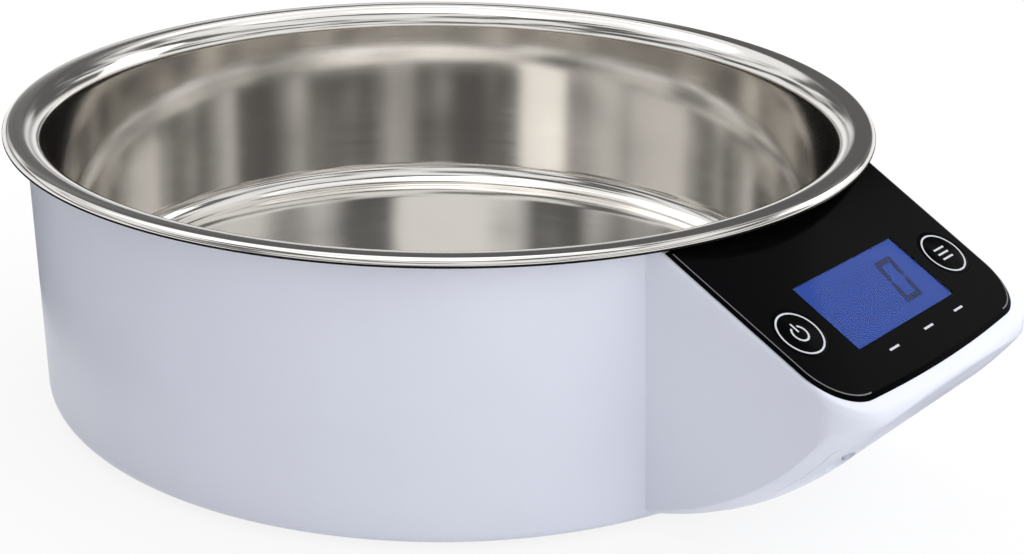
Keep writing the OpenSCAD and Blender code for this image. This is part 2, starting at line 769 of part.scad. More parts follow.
module switch_bodies() {
    color([0.12, 0.12, 0.13]) at_bowl_axis() at_keys() translate([0, 0, -board_top]) difference() {
        block([switch_size, switch_size, switch_h], [0, 0, 0]);
        translate([0, 0, switch_h - plunger_l]) cylinder(h = plunger_l + over, r = plunger_r + 0.1);
    }
}

// Key cap, flush with the panel, held behind it by its flange
module key_cap(side) {
    color([0.03, 0.03, 0.035]) at_bowl_axis() on_panel() translate([side * key_x, -window_drop, 0]) {
        translate([0, 0, -panel_t]) cylinder(h = panel_t, r = key_r);
        translate([0, 0, -panel_t - key_flange_t]) cylinder(h = key_flange_t, r = key_flange_r);
        translate([0, 0, -plunger_top]) cylinder(h = plunger_top - panel_t, r = post_r);
    }
}

module key_plunger(side) {
    reach = plunger_l + 0.8 - key_travel - 0.1;
    color("ivory") at_bowl_axis() on_panel() translate([side * key_x, -window_drop, -plunger_top - reach])
        cylinder(h = reach, r = plunger_r);
}

module zero_key() { key_cap(-1); }
module mode_key() { key_cap(1); }
module zero_plunger() { key_plunger(-1); }
module mode_plunger() { key_plunger(1); }

// Sector that follows the underside, grown outwards to make a cut for the door
module door_sector(w, y0, y1, depth, grow) {
    centre = [0, keel_r - keel_sag];
    a0 = asin(y0 / keel_r);
    a1 = asin(y1 / keel_r);
    on_keel() translate([-w / 2, 0, 0]) rotate([90, 0, 90]) linear_extrude(w)
        polygon(concat(arc(centre, keel_r + grow, -90 + a0, -90 + a1),
            arc(centre, keel_r - depth, -90 + a1, -90 + a0)));
}

module at_hinge() {
    on_keel() translate([0, hinge_y, hinge_z]) rotate([0, 90, 0]) children();
}

// One step of the groove in the cover, where the lead rises
module lead_groove(out, lift) {
    block([2 * lead_r + 0.8, 6 + out, total_h],
        [0, -body_top_r + 3 - out / 2, lead_slot_z + lead_slot_h / 2 - lead_r + lift]);
}

// Underside of the nose with the battery bay
module nose_cover() {
    under_roof = roof_bottom + 0.4;
    pocket_w = door_w + 2 * print_gap;
    color("whitesmoke") at_bowl_axis() difference() {
        intersection() {
            difference() {
                nose_prism(wall_t + fit_gap, total_h);
                translate([0, 0, skirt_z]) cylinder(h = body_top_z - skirt_z, r1 = body_foot_r + fit_gap,
                    r2 = body_top_r + fit_gap, $fn = round_fn);
            }
            keel_hull(0);
            side_cut([[nose_root, face_z(nose_root, under_roof)], [nose_reach, face_z(nose_reach, under_roof)],
                [nose_reach, -over], [nose_root, -over]]);
            union() {
                difference() {
                    side_cut([[keel_root, body_top_z], [nose_reach, body_top_z], [nose_reach, -over],
                        [keel_root, -over]]);
                    keel_hull(cover_t);
                }
                on_keel() block([bay_l + 2 * bay_wall, bay_h + 2 * bay_wall, bay_top + bay_wall + keel_sag],
                    [0, bay_y, -keel_sag]);
                at_cover_screws() translate([0, 0, 20])
                    cylinder(h = cover_seat_z + cover_cup_t - 20, r = cover_post_r + 1.2);
            }
        }
        on_keel() block([bay_l, bay_h, bay_top + keel_sag + over], [0, bay_y, -keel_sag - over]);
        on_keel() for (side = [-1, 1]) block([plate_t + 0.2, 3.2, bay_top + tab_h],
            [side * (bay_l - plate_t) / 2, bay_y, 0]);
        door_sector(pocket_w, hinge_y - hinge_r - print_gap - 0.1, door_end + print_gap,
            door_t + print_gap, over);
        at_hinge() {
            cylinder(h = pocket_w, r = hinge_r + print_gap, center = true);
            cylinder(h = door_w + 2 * pin_l + 0.6, r = pin_r + pin_gap, center = true);
        }
        lead_groove(0.7, -0.2);
        lead_groove(2.2, 0.5);
        lead_groove(2.9, 2.1);
        at_cover_screws() {
            translate([0, 0, cover_seat_z - 10]) cylinder(h = 10, r = head_r + head_gap);
            translate([0, 0, cover_seat_z - over])
                cylinder(h = cover_cup_t + 2 * over, r = pass_r, $fn = small_fn);
            translate([0, 0, cover_seat_z + cover_cup_t])
                cylinder(h = total_h, r = cover_post_r + print_gap);
        }
    }
}

module nose_cover_screws() {
    color("dimgray") at_bowl_axis() at_cover_screws()
        translate([0, 0, cover_seat_z - head_h]) screw_up(head_h + 7.2);
}

// Curved door that swings out on two pins near the tip, with finger ridges at its free edge
module battery_door() {
    grip_n = 4;
    grip_pitch = 2;
    color("whitesmoke") at_bowl_axis() {
        difference() {
            union() {
                door_sector(door_w, hinge_y, door_end, door_t, 0);
                at_hinge() cylinder(h = door_w, r = hinge_r, center = true);
                at_hinge() cylinder(h = door_w + 2 * pin_l, r = pin_r, center = true);
            }
            for (i = [0 : grip_n - 1]) on_keel()
                block([18, 1, 0.5 + over], [0, door_end - 2.5 - i * grip_pitch,
                    keel_in(door_end - 2.5 - i * grip_pitch, 0.5) - 0.5 - over]);
        }
    }
}

// One battery across the nose; its nub points to the side given
module battery(row, side) {
    nub_l = 1;
    nub_r = 1.9;
    start = side * (bay_l / 2 - plate_t);
    on_keel() translate([start, bay_y + row * battery_pitch / 2, battery_lift]) rotate([0, -side * 90, 0]) {
        cylinder(h = nub_l, r = nub_r);
        translate([0, 0, nub_l]) cylinder(h = battery_l - nub_l, r = battery_r);
    }
}

module battery_left() { color("goldenrod") at_bowl_axis() battery(1, 1); }
module battery_right() { color("goldenrod") at_bowl_axis() battery(-1, -1); }

// Conical contact springs, drawn as their outer form
module battery_springs() {
    color("silver") at_bowl_axis() for (side = [-1, 1]) on_keel()
        translate([-side * (bay_l / 2 - plate_t), bay_y + side * battery_pitch / 2, battery_lift])
            rotate([0, side * 90, 0]) difference() {
                cylinder(h = spring_l, r1 = 3.6, r2 = 2.4);
                translate([0, 0, -over]) cylinder(h = spring_l + 2 * over, r = 1.6);
            }
}

// Contact plates at both ends of the bay, each with a solder tab through the bay's roof
module battery_plates() {
    foot = battery_lift - battery_r + 1;
    color("silver") at_bowl_axis() for (side = [-1, 1]) on_keel() {
        block([plate_t, bay_h - 1, battery_d - 2], [side * (bay_l - plate_t) / 2, bay_y, foot]);
        block([plate_t, 3, bay_top + tab_h - foot - 1], [side * (bay_l - plate_t) / 2, bay_y, foot + 0.5]);
    }
}

// Two wires from the solder tabs up to the board
module battery_leads() {
    x = bay_l / 2 + wire_r;
    start = bay_top + tab_h - 1.2;
    drop = window_drop + 4;
    land = board_under + 0.1;
    top = keel_frame(-body_top_r - drop * cos(panel_tilt) + land * sin(panel_tilt),
        panel_root_z - drop * sin(panel_tilt) - land * cos(panel_tilt));
    turn = panel_tilt + keel_a;
    square = [sin(turn), -cos(turn)];
    color("firebrick") at_bowl_axis() for (side = [-1, 1]) on_keel() lead_tube([
        [side * x, bay_y, start], [side * x, bay_y, start + 2.5], [side * (x - 0.5), bay_y - 2, start + 4],
        [side * (x - 3), top[0] + 3.5 * square[0], top[1] + 3.5 * square[1]],
        [side * (x - 3), top[0] + 1.5 * square[0], top[1] + 1.5 * square[1]],
        [side * (x - 3), top[0], top[1]]], wire_r);
}

// A point at y and z of the bowl's frame, in the frame of the underside's chord
function keel_frame(y, z) =
    let (dy = y + keel_mid[0], dz = z - keel_mid[1])
    [dy * cos(keel_a) - dz * sin(keel_a), dy * sin(keel_a) + dz * cos(keel_a)];

steel_bowl();
housing();
base_plate();
base_screws();
rubber_feet();
weighing_platform();
platform_pads();
platform_screws();
load_cell();
load_cell_screws();
gauge_seal();
load_cell_lead();
display_panel();
display_window();
panel_adhesive();
lcd_glass();
lcd_holder();
contact_strips();
backlight();
main_board();
board_screws();
board_chips();
switch_bodies();
lead_socket();
zero_key();
zero_plunger();
mode_key();
mode_plunger();
nose_cover();
nose_cover_screws();
battery_door();
battery_left();
battery_right();
battery_springs();
battery_plates();
battery_leads();
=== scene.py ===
"""Looks of the pet food bowl scale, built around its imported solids."""

import math

import bmesh
import bpy
from bpy.props import FloatProperty, FloatVectorProperty, IntProperty, PointerProperty
from bpy.types import Operator, Panel, PropertyGroup
from mathutils import Matrix, Vector


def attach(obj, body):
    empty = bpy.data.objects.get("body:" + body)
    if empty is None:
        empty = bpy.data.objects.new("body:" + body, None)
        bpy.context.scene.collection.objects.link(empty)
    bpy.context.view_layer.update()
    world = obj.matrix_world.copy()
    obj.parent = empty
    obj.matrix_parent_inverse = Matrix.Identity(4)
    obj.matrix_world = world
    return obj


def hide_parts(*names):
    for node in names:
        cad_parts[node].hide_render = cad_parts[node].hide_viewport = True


bl_info = {
    "name": "Pet Food Bowl Scale",
    "version": (1, 0, 0),
    "blender": (4, 5, 0),
    "location": "View3D > Sidebar > Bowl Scale",
    "description": "Builds the steel bowl, moulded housing, display and keys of a bowl scale",
    "category": "Object",
}

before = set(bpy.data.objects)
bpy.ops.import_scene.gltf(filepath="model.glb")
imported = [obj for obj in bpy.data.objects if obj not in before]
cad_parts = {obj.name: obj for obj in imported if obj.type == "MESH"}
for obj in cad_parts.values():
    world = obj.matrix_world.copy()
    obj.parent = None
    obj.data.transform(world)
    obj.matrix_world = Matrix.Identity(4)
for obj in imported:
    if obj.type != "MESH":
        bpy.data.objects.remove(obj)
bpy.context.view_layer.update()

MM = 0.001

# The bowl's axis stands this far behind the origin
BOWL_Y = 20.25 * MM

# Heights and radii of the solids that the pieces replace or sit on; the wall is the shell's
RIM_R = 110 * MM
RIM_Z = 72 * MM
BOWL_TOP_R = 99.9 * MM
BOWL_FOOT_R = 98.7 * MM
FLOOR_Z = 17 * MM
SHEET = 0.8 * MM
BODY_TOP_R = 104.5 * MM
BODY_FOOT_R = 103.5 * MM
BODY_TOP_Z = 69.2 * MM
SKIRT_Z = 1.5 * MM
DECK_TOP_Z = 12.3 * MM
DECK_Z = 10.5 * MM
BASE_TOP_Z = 4 * MM
WALL = 2.2 * MM

# The nose, measured from the bowl's axis; its sides stand a little outside the solid's
NOSE_SPREAD = 0.7 * MM
NOSE_REACH = 150.5 * MM
NOSE_ROOT = 89.5 * MM
NOSE_HALF_ROOT = 42.3 * MM
NOSE_HALF_TIP = 41.3 * MM
NOSE_HALF_FOOT = 37.9 * MM
NOSE_LEAN = 0.066
NOSE_CORNER = 12 * MM
NOSE_BULGE = 1 * MM
KEEL_A = Vector((97 * MM, 1.6 * MM))
KEEL_B = Vector((150.5 * MM, 42.8 * MM))
KEEL_R = 93 * MM
KEEL_EDGE = 14.7 * MM
KEEL_HALF = 43.6 * MM
PANEL_PROUD = 0.7 * MM
PANEL_FRONT_CUT = 3.2 * MM
PANEL_TILT = math.radians(27.2)
PANEL_ROOT_Z = 67.8 * MM
PANEL_T = 2 * MM
PANEL_LIP = 0.35 * MM
BORDER = 2 * MM
LOOSE = 0.12 * MM
SHELL_ROUGH = (0.3, 0.38)
PANEL_ARC_R = 105.2 * MM
WINDOW_W = 42 * MM
WINDOW_H = 19.4 * MM
WINDOW_DROP = 26.6 * MM
MARKS_DROP = 40 * MM
KEY_X = 31.2 * MM
KEY_R = 6.8 * MM
ROOF_TOP = 2.3 * MM
ROOF_BOTTOM = 3.9 * MM


# Points and outlines


def arc_points(centre, radius, start, end, steps):
    """Points on an arc in a plane, angles in degrees."""
    turns = [math.radians(start + (end - start) * i / steps) for i in range(steps + 1)]
    return [Vector((centre[0] + radius * math.cos(t), centre[1] + radius * math.sin(t))) for t in turns]


def nose_outline(inset, root_arc, front_cut=0.0, steps=18):
    """Outline of the nose seen from above, as x and y round the bowl's axis."""
    tip = NOSE_HALF_TIP - inset
    root = NOSE_HALF_ROOT - inset
    radius = NOSE_CORNER - inset
    front = -(NOSE_REACH - NOSE_BULGE) + inset + front_cut
    corner = Vector((tip - radius, front + radius))
    slope = math.degrees(math.atan2(root - tip, NOSE_REACH - NOSE_ROOT))
    right = arc_points(corner, radius, slope, -88, steps)
    side = math.asin(root / root_arc)
    start = Vector((root, -root_arc * math.cos(side)))
    right = [start.lerp(right[0], i / 20) for i in range(1, 20)] + right
    bulge = []
    for i in range(1, 16):
        u = 1 - 2 * i / 16
        bulge.append(Vector((corner.x * u, front - NOSE_BULGE * (1 - u * u))))
    left = [Vector((-p.x, p.y)) for p in reversed(right)]
    back = [Vector((root_arc * math.sin(side * u), -root_arc * math.cos(side * u)))
            for u in [-1 + i / 12 for i in range(25)]]
    return right + bulge + left + back


def panel_point(x, drop, height=0.0):
    """A point on the display panel's plane: x across, drop down the slope, height out of it."""
    reach = BODY_TOP_R + drop * math.cos(PANEL_TILT) + height * math.sin(PANEL_TILT)
    z = PANEL_ROOT_Z - drop * math.sin(PANEL_TILT) + height * math.cos(PANEL_TILT)
    return Vector((x, BOWL_Y - reach, z))


def panel_matrix(x=0.0, drop=0.0, height=0.0):
    """Places a shape drawn flat in x and y on the panel, with y up the slope."""
    turn = Matrix.Rotation(PANEL_TILT, 4, "X")
    return Matrix.Translation(panel_point(x, drop, height)) @ turn


def keel_centre():
    """Centre of the curved underside seen from the side, as reach and height."""
    chord = KEEL_B - KEEL_A
    slope = math.atan2(chord.y, chord.x)
    rise = math.sqrt(KEEL_R ** 2 - (chord.length / 2) ** 2)
    return (KEEL_A + KEEL_B) / 2 + rise * Vector((-math.sin(slope), math.cos(slope)))


KEEL_CENTRE = keel_centre()


def keel_height(x, reach):
    """Height of the rounded underside at a place under the nose."""
    over = min(max(0.0, abs(x) - KEEL_HALF + KEEL_EDGE), KEEL_EDGE)
    radius = KEEL_R - KEEL_EDGE + math.sqrt(KEEL_EDGE ** 2 - over ** 2)
    across = reach - KEEL_CENTRE.x
    return KEEL_CENTRE.y - math.sqrt(max(radius ** 2 - across ** 2, 0.0))


def face_height(reach, drop):
    """Height of a plane at a depth below the display panel's face."""
    return PANEL_ROOT_Z - (reach - BODY_TOP_R) * math.tan(PANEL_TILT) - drop / math.cos(PANEL_TILT)


def nose_ring(inset, root_arc, height, front_cut=0.0):
    """A loop round the nose between its leaning sides; height gives z from x and reach."""
    ring = []
    for p in nose_outline(inset, root_arc, front_cut):
        x = p.x
        for _ in range(5):
            z = height(x, -p.y)
            x = math.copysign(min(abs(p.x), NOSE_HALF_FOOT + NOSE_LEAN * z - inset), p.x)
        ring.append(Vector((x, BOWL_Y + p.y, z)))
    return ring


def shell_of(rings, capped=True):
    """A closed bmesh from loops with equal counts: a cap at each end, or back to the first loop."""
    bm = bmesh.new()
    loops = [[bm.verts.new(p) for p in ring] for ring in rings]
    for low, high in zip(loops, loops[1:] if capped else loops[1:] + loops[:1]):
        for i in range(len(low)):
            k = (i + 1) % len(low)
            bm.faces.new((low[i], low[k], high[k], high[i]))
    if capped:
        bm.faces.new(loops[0])
        bm.faces.new(loops[-1])
    bmesh.ops.recalc_face_normals(bm, faces=bm.faces)
    return bm


# Mesh helpers


def finish_mesh(bm, name, outward=True):
    """Makes an object from a bmesh, with doubles merged and faces pointing outwards."""
    bmesh.ops.remove_doubles(bm, verts=bm.verts, dist=1e-7)
    if outward:
        bmesh.ops.recalc_face_normals(bm, faces=bm.faces)
    mesh = bpy.data.meshes.new(name)
    bm.to_mesh(mesh)
    bm.free()
    piece = bpy.data.objects.new(name, mesh)
    bpy.context.scene.collection.objects.link(piece)
    return piece


def wire(bm, points, closed):
    """A line of edges through points."""
    verts = [bm.verts.new(p) for p in points]
    edges = [bm.edges.new(pair) for pair in zip(verts, verts[1:])]
    if closed:
        edges.append(bm.edges.new((verts[-1], verts[0])))
    return verts, edges


def turned(name, outline, steps=160, closed=False, centre=(0.0, BOWL_Y)):
    """A turned solid: an outline of radius and height spun round an upright axis."""
    bm = bmesh.new()
    points = [Vector((centre[0] + p[0], centre[1], p[1])) for p in outline]
    verts, edges = wire(bm, points, closed)
    bmesh.ops.spin(bm, geom=verts + edges, cent=(centre[0], centre[1], 0), axis=(0, 0, 1),
                   angle=math.tau, steps=steps, use_merge=True)
    return finish_mesh(bm, name)


def slice_off(bm, point, normal):
    """Cuts away what lies beyond a plane and closes the cut."""
    geom = bm.verts[:] + bm.edges[:] + bm.faces[:]
    cut = bmesh.ops.bisect_plane(bm, geom=geom, dist=1e-8, plane_co=point, plane_no=normal, clear_outer=True)
    edges = [e for e in cut["geom_cut"] if isinstance(e, bmesh.types.BMEdge)]
    if edges:
        bmesh.ops.holes_fill(bm, edges=edges, sides=0)


def round_edges(bm, edges, width, segments=4):
    bmesh.ops.bevel(bm, geom=edges, offset=width, offset_type="OFFSET", segments=segments, profile=0.5,
                    affect="EDGES", material=-1, clamp_overlap=True)


def on_outline(edge, test):
    return all(test(v.co) for v in edge.verts)


def block(name, size, matrix):
    """A plain block."""
    bm = bmesh.new()
    bmesh.ops.create_cube(bm, size=1.0)
    bmesh.ops.scale(bm, vec=size, verts=bm.verts)
    bmesh.ops.transform(bm, matrix=matrix, verts=bm.verts)
    return finish_mesh(bm, name)


def rod(name, radius, length, matrix, segments=64):
    """A plain cylinder used as a cutter."""
    bm = bmesh.new()
    bmesh.ops.create_cone(bm, cap_ends=True, segments=segments, radius1=radius, radius2=radius, depth=length)
    bmesh.ops.transform(bm, matrix=matrix, verts=bm.verts)
    return finish_mesh(bm, name)


def cut_with(piece, cutters):
    """Takes the cutters away from a piece and keeps the result as its mesh."""
    for cutter in cutters:
        step = piece.modifiers.new("cut", "BOOLEAN")
        step.operation = "DIFFERENCE"
        step.solver = "EXACT"
        step.object = cutter
    bpy.context.view_layer.update()
    result = bpy.data.meshes.new_from_object(
        piece.evaluated_get(bpy.context.evaluated_depsgraph_get()))
    piece.modifiers.clear()
    old = piece.data
    piece.data = result
    bpy.data.meshes.remove(old)
    result.name = piece.name
    for cutter in cutters:
        mesh = cutter.data
        bpy.data.objects.remove(cutter)
        bpy.data.meshes.remove(mesh)


def smooth(piece, degrees=32):
    """Shades a piece smooth, with its sharper edges kept."""
    mesh = piece.data
    for polygon in mesh.polygons:
        polygon.use_smooth = True
    bm = bmesh.new()
    bm.from_mesh(mesh)
    for edge in bm.edges:
        sharp = len(edge.link_faces) != 2 or edge.calc_face_angle(0) > math.radians(degrees)
        edge.smooth = not sharp
    bm.to_mesh(mesh)
    bm.free()


def settle(piece, body, finish, nodes=()):
    """Gives a piece its finish, its body and the solids that it stands for."""
    piece.data.materials.clear()
    piece.data.materials.append(finish)
    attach(piece, body)
    if nodes:
        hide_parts(*nodes)
    return piece


# Materials


def new_material(name):
    finish = bpy.data.materials.get(name)
    if finish:
        return finish, None, None
    finish = bpy.data.materials.new(name)
    finish.use_nodes = True
    tree = finish.node_tree
    return finish, tree, tree.nodes["Principled BSDF"]


def object_coords(tree, scale=(1, 1, 1), offset=(0, 0, 0)):
    coords = tree.nodes.new("ShaderNodeTexCoord")
    mapping = tree.nodes.new("ShaderNodeMapping")
    mapping.inputs["Scale"].default_value = scale
    mapping.inputs["Location"].default_value = offset
    tree.links.new(coords.outputs["Object"], mapping.inputs["Vector"])
    return mapping.outputs["Vector"]


def noise(tree, vector, scale, detail=2.0, roughness=0.5):
    node = tree.nodes.new("ShaderNodeTexNoise")
    node.inputs["Scale"].default_value = scale
    node.inputs["Detail"].default_value = detail
    node.inputs["Roughness"].default_value = roughness
    tree.links.new(vector, node.inputs["Vector"])
    return node.outputs["Fac"]


def between(tree, factor, low, high, start=0.3, end=0.7):
    """Maps a pattern onto a range of values."""
    node = tree.nodes.new("ShaderNodeMapRange")
    node.inputs["From Min"].default_value = start
    node.inputs["From Max"].default_value = end
    node.inputs["To Min"].default_value = low
    node.inputs["To Max"].default_value = high
    tree.links.new(factor, node.inputs["Value"])
    return node.outputs["Result"]


def tint(tree, factor, first, second):
    node = tree.nodes.new("ShaderNodeMix")
    node.data_type = "RGBA"
    node.inputs[6].default_value = (*first, 1)
    node.inputs[7].default_value = (*second, 1)
    tree.links.new(factor, node.inputs["Factor"])
    return node.outputs[2]


def bump(tree, shader, height, strength, distance):
    node = tree.nodes.new("ShaderNodeBump")
    node.inputs["Strength"].default_value = strength
    node.inputs["Distance"].default_value = distance
    tree.links.new(height, node.inputs["Height"])
    tree.links.new(node.outputs["Normal"], shader.inputs["Normal"])


def shade(colour, factor):
    return tuple(min(1.0, c * factor) for c in colour[:3])


def moulded(name, colour, rough=(0.28, 0.36), grain=0.0):
    """Moulded plastic: slight mottling, a faint unevenness and, if asked, a fine eroded grain."""
    finish, tree, shader = new_material(name)
    if tree is None:
        return finish
    place = object_coords(tree)
    broad = noise(tree, place, 28.0, 3.0)
    fine = noise(tree, place, 2600.0, 2.0)
    tree.links.new(tint(tree, between(tree, broad, 0, 1), shade(colour, 0.975), shade(colour, 1.015)),
                   shader.inputs["Base Color"])
    tree.links.new(between(tree, broad, rough[0], rough[1]), shader.inputs["Roughness"])
    shader.inputs["IOR"].default_value = 1.49
    shader.inputs["Specular IOR Level"].default_value = 0.35
    bump(tree, shader, fine if grain else broad, 0.25 if grain else 0.12, grain * MM if grain else 0.02 * MM)
    return finish


def plain_metal(name, colour, rough=(0.25, 0.4)):
    finish, tree, shader = new_material(name)
    if tree is None:
        return finish
    place = object_coords(tree)
    grain = noise(tree, place, 900.0, 3.0)
    shader.inputs["Metallic"].default_value = 1.0
    tree.links.new(tint(tree, between(tree, grain, 0, 1), shade(colour, 0.92), shade(colour, 1.04)),
                   shader.inputs["Base Color"])
    tree.links.new(between(tree, grain, rough[0], rough[1]), shader.inputs["Roughness"])
    bump(tree, shader, grain, 0.15, 0.02 * MM)
    return finish


def spun_steel(look):
    """Sheet steel polished on a lathe: fine rings round the bowl's axis."""
    finish, tree, shader = new_material("spun_steel")
    if tree is None:
        return finish
    place = object_coords(tree, offset=(0, -BOWL_Y, 0))
    split = tree.nodes.new("ShaderNodeSeparateXYZ")
    tree.links.new(place, split.inputs["Vector"])
    flat = tree.nodes.new("ShaderNodeCombineXYZ")
    tree.links.new(split.outputs["X"], flat.inputs["X"])
    tree.links.new(split.outputs["Y"], flat.inputs["Y"])
    length = tree.nodes.new("ShaderNodeVectorMath")
    length.operation = "LENGTH"
    tree.links.new(flat.outputs["Vector"], length.inputs[0])
    rings = tree.nodes.new("ShaderNodeCombineXYZ")
    tree.links.new(length.outputs["Value"], rings.inputs["X"])
    tree.links.new(split.outputs["Z"], rings.inputs["Y"])
    fine = noise(tree, rings.outputs["Vector"], 1500.0, 4.0, 0.65)
    broad = noise(tree, place, 22.0, 2.0)
    shader.inputs["Metallic"].default_value = 1.0
    tree.links.new(tint(tree, between(tree, broad, 0, 1), shade(look.steel_colour, 0.97),
                        look.steel_colour[:3]), shader.inputs["Base Color"])
    tree.links.new(between(tree, fine, look.steel_rough * 0.8, look.steel_rough * 1.25),
                   shader.inputs["Roughness"])
    shader.inputs["Anisotropic"].default_value = 0.55
    tangent = tree.nodes.new("ShaderNodeTangent")
    tangent.direction_type = "RADIAL"
    tangent.axis = "Z"
    tree.links.new(tangent.outputs["Tangent"], shader.inputs["Tangent"])
    bump(tree, shader, fine, 0.12, 0.01 * MM)
    return finish


def black_gloss(look):
    """Printed black panel: deep gloss with a faint haze of handling."""
    finish, tree, shader = new_material("black_gloss")
    if tree is None:
        return finish
    place = object_coords(tree)
    haze = noise(tree, place, 45.0, 5.0, 0.6)
    shader.inputs["Base Color"].default_value = (*look.panel_colour, 1)
    tree.links.new(between(tree, haze, 0.10, 0.16), shader.inputs["Roughness"])
    shader.inputs["IOR"].default_value = 1.3
    shader.inputs["Specular IOR Level"].default_value = 0.02
    bump(tree, shader, haze, 0.05, 0.02 * MM)
    return finish


def screen_glow(name, colour, strength):
    """Lit face of the screen, its glow varying a little at random."""
    finish, tree, shader = new_material(name)
    if tree is None:
        return finish
    place = object_coords(tree)
    cloud = noise(tree, place, 30.0, 1.0)
    shader.inputs["Base Color"].default_value = (*shade(colour, 0.1), 1)
    shader.inputs["Roughness"].default_value = 0.5
    shader.inputs["Specular IOR Level"].default_value = 0.1
    tree.links.new(tint(tree, between(tree, cloud, 0, 1), shade(colour, 0.9), colour[:3]),
                   shader.inputs["Emission Color"])
    shader.inputs["Emission Strength"].default_value = strength
    return finish


def clear_sheet():
    """Clear window over the screen."""
    finish, tree, shader = new_material("clear_window")
    if tree is None:
        return finish
    place = object_coords(tree)
    shader.inputs["Base Color"].default_value = (0.96, 0.97, 1.0, 1)
    shader.inputs["Transmission Weight"].default_value = 1.0
    tree.links.new(between(tree, noise(tree, place, 40.0, 3.0), 0.02, 0.05), shader.inputs["Roughness"])
    shader.inputs["IOR"].default_value = 1.08
    shader.inputs["Specular IOR Level"].default_value = 0.2
    return finish


def print_ink(name, colour):
    """Screen-printed ink."""
    finish, tree, shader = new_material(name)
    if tree is None:
        return finish
    speck = noise(tree, object_coords(tree), 1800.0, 2.0)
    tree.links.new(tint(tree, between(tree, speck, 0, 1), shade(colour, 0.93), colour[:3]),
                   shader.inputs["Base Color"])
    shader.inputs["Roughness"].default_value = 0.45
    return finish


def soft_rubber(name, colour):
    finish, tree, shader = new_material(name)
    if tree is None:
        return finish
    place = object_coords(tree)
    bloom = noise(tree, place, 120.0, 4.0)
    pits = noise(tree, place, 1900.0, 3.0)
    tree.links.new(tint(tree, between(tree, bloom, 0, 1), shade(colour, 0.85), shade(colour, 1.12)),
                   shader.inputs["Base Color"])
    tree.links.new(between(tree, bloom, 0.62, 0.8), shader.inputs["Roughness"])
    bump(tree, shader, pits, 0.35, 0.04 * MM)
    return finish


def circuit_green():
    """Green resist over copper tracks."""
    finish, tree, shader = new_material("circuit_green")
    if tree is None:
        return finish
    place = object_coords(tree, scale=(420, 420, 420))
    tracks = tree.nodes.new("ShaderNodeTexVoronoi")
    tracks.distance = "MANHATTAN"
    tracks.feature = "DISTANCE_TO_EDGE"
    tracks.inputs["Scale"].default_value = 1.0
    tree.links.new(place, tracks.inputs["Vector"])
    lines = between(tree, tracks.outputs["Distance"], 1, 0, 0.05, 0.09)
    tree.links.new(tint(tree, lines, (0.01, 0.10, 0.04), (0.03, 0.24, 0.09)), shader.inputs["Base Color"])
    shader.inputs["Roughness"].default_value = 0.35
    bump(tree, shader, lines, 0.3, 0.03 * MM)
    return finish


# Settings


class BowlScaleShape(PropertyGroup):
    lip_round: FloatProperty(name="Rim roll", description="Outer radius of the rolled rim",
                             default=1.8 * MM, min=1 * MM, max=2.2 * MM, unit="LENGTH", precision=4)
    nose_edge: FloatProperty(name="Nose edge", description="Rounding of the nose's upper edge",
                             default=1.7 * MM, min=0.5 * MM, max=1.9 * MM, unit="LENGTH", precision=4)
    keel_edge: FloatProperty(name="Lower edge", description="Rounding of the nose's lower edge",
                             default=0.8 * MM, min=0.3 * MM, max=1.5 * MM, unit="LENGTH", precision=4)
    panel_edge: FloatProperty(name="Panel edge", description="Rounding of the display panel's edge",
                              default=0.35 * MM, min=0.1 * MM, max=0.6 * MM, unit="LENGTH", precision=4)
    ring_radius: FloatProperty(name="Key ring", description="Radius of the ring printed on each key",
                               default=5.9 * MM, min=4 * MM, max=6.5 * MM, unit="LENGTH", precision=4)
    turns: IntProperty(name="Facets", description="Steps round the large turned pieces",
                       default=192, min=48, max=256)


class BowlScaleLook(PropertyGroup):
    steel_colour: FloatVectorProperty(name="Steel", description="Colour of the bowl's steel",
                                      subtype="COLOR", size=3, min=0, max=1, default=(0.80, 0.78, 0.75))
    steel_rough: FloatProperty(name="Steel roughness", description="How satin the steel is",
                               default=0.09, min=0.02, max=0.6)
    shell_colour: FloatVectorProperty(name="Shell", description="Colour of the moulded shell",
                                      subtype="COLOR", size=3, min=0, max=1, default=(0.80, 0.82, 0.90))
    inner_colour: FloatVectorProperty(name="Inner parts", description="Colour of the parts under the bowl",
                                      subtype="COLOR", size=3, min=0, max=1, default=(0.74, 0.74, 0.76))
    panel_colour: FloatVectorProperty(name="Panel", description="Colour of the display panel",
                                      subtype="COLOR", size=3, min=0, max=1, default=(0.002, 0.002, 0.0024))
    screen_colour: FloatVectorProperty(name="Screen", description="Colour of the lit screen",
                                       subtype="COLOR", size=3, min=0, max=1, default=(0.012, 0.055, 0.31))
    ink_colour: FloatVectorProperty(name="Print", description="Colour of the printed marks",
                                    subtype="COLOR", size=3, min=0, max=1, default=(0.62, 0.63, 0.66))


class BowlScaleStage(PropertyGroup):
    key_power: FloatProperty(name="Top lamp", description="Strength of the large lamp overhead",
                             default=2.5, min=0, max=50)
    side_power: FloatProperty(name="Side lamp", description="Strength of the lamp at the nose's side",
                              default=1.5, min=0, max=50)
    ambient: FloatProperty(name="Surround", description="Strength of the light from all round",
                           default=0.85, min=0, max=2)
    contrast: FloatProperty(name="Contrast", description="How much brighter one side of the surround is",
                            default=0.9, min=0, max=1)
    bright_side: FloatProperty(name="Bright side", description="Direction of the brighter side, in degrees",
                               default=-50.0, min=-180, max=180)
    glint_shift: FloatProperty(name="Band shift", description="Moves the bands that the steel mirrors",
                               default=0.0, min=-5, max=5)
    glint_dim: FloatProperty(name="Dim bands", default=0.12, min=0, max=1,
                             description="Strength of the dimmer bands that the steel mirrors")
    floor_white: FloatProperty(name="Floor white", default=0.85, min=0, max=1,
                               description="Share of plain white in the floor as it is seen")


# Pieces


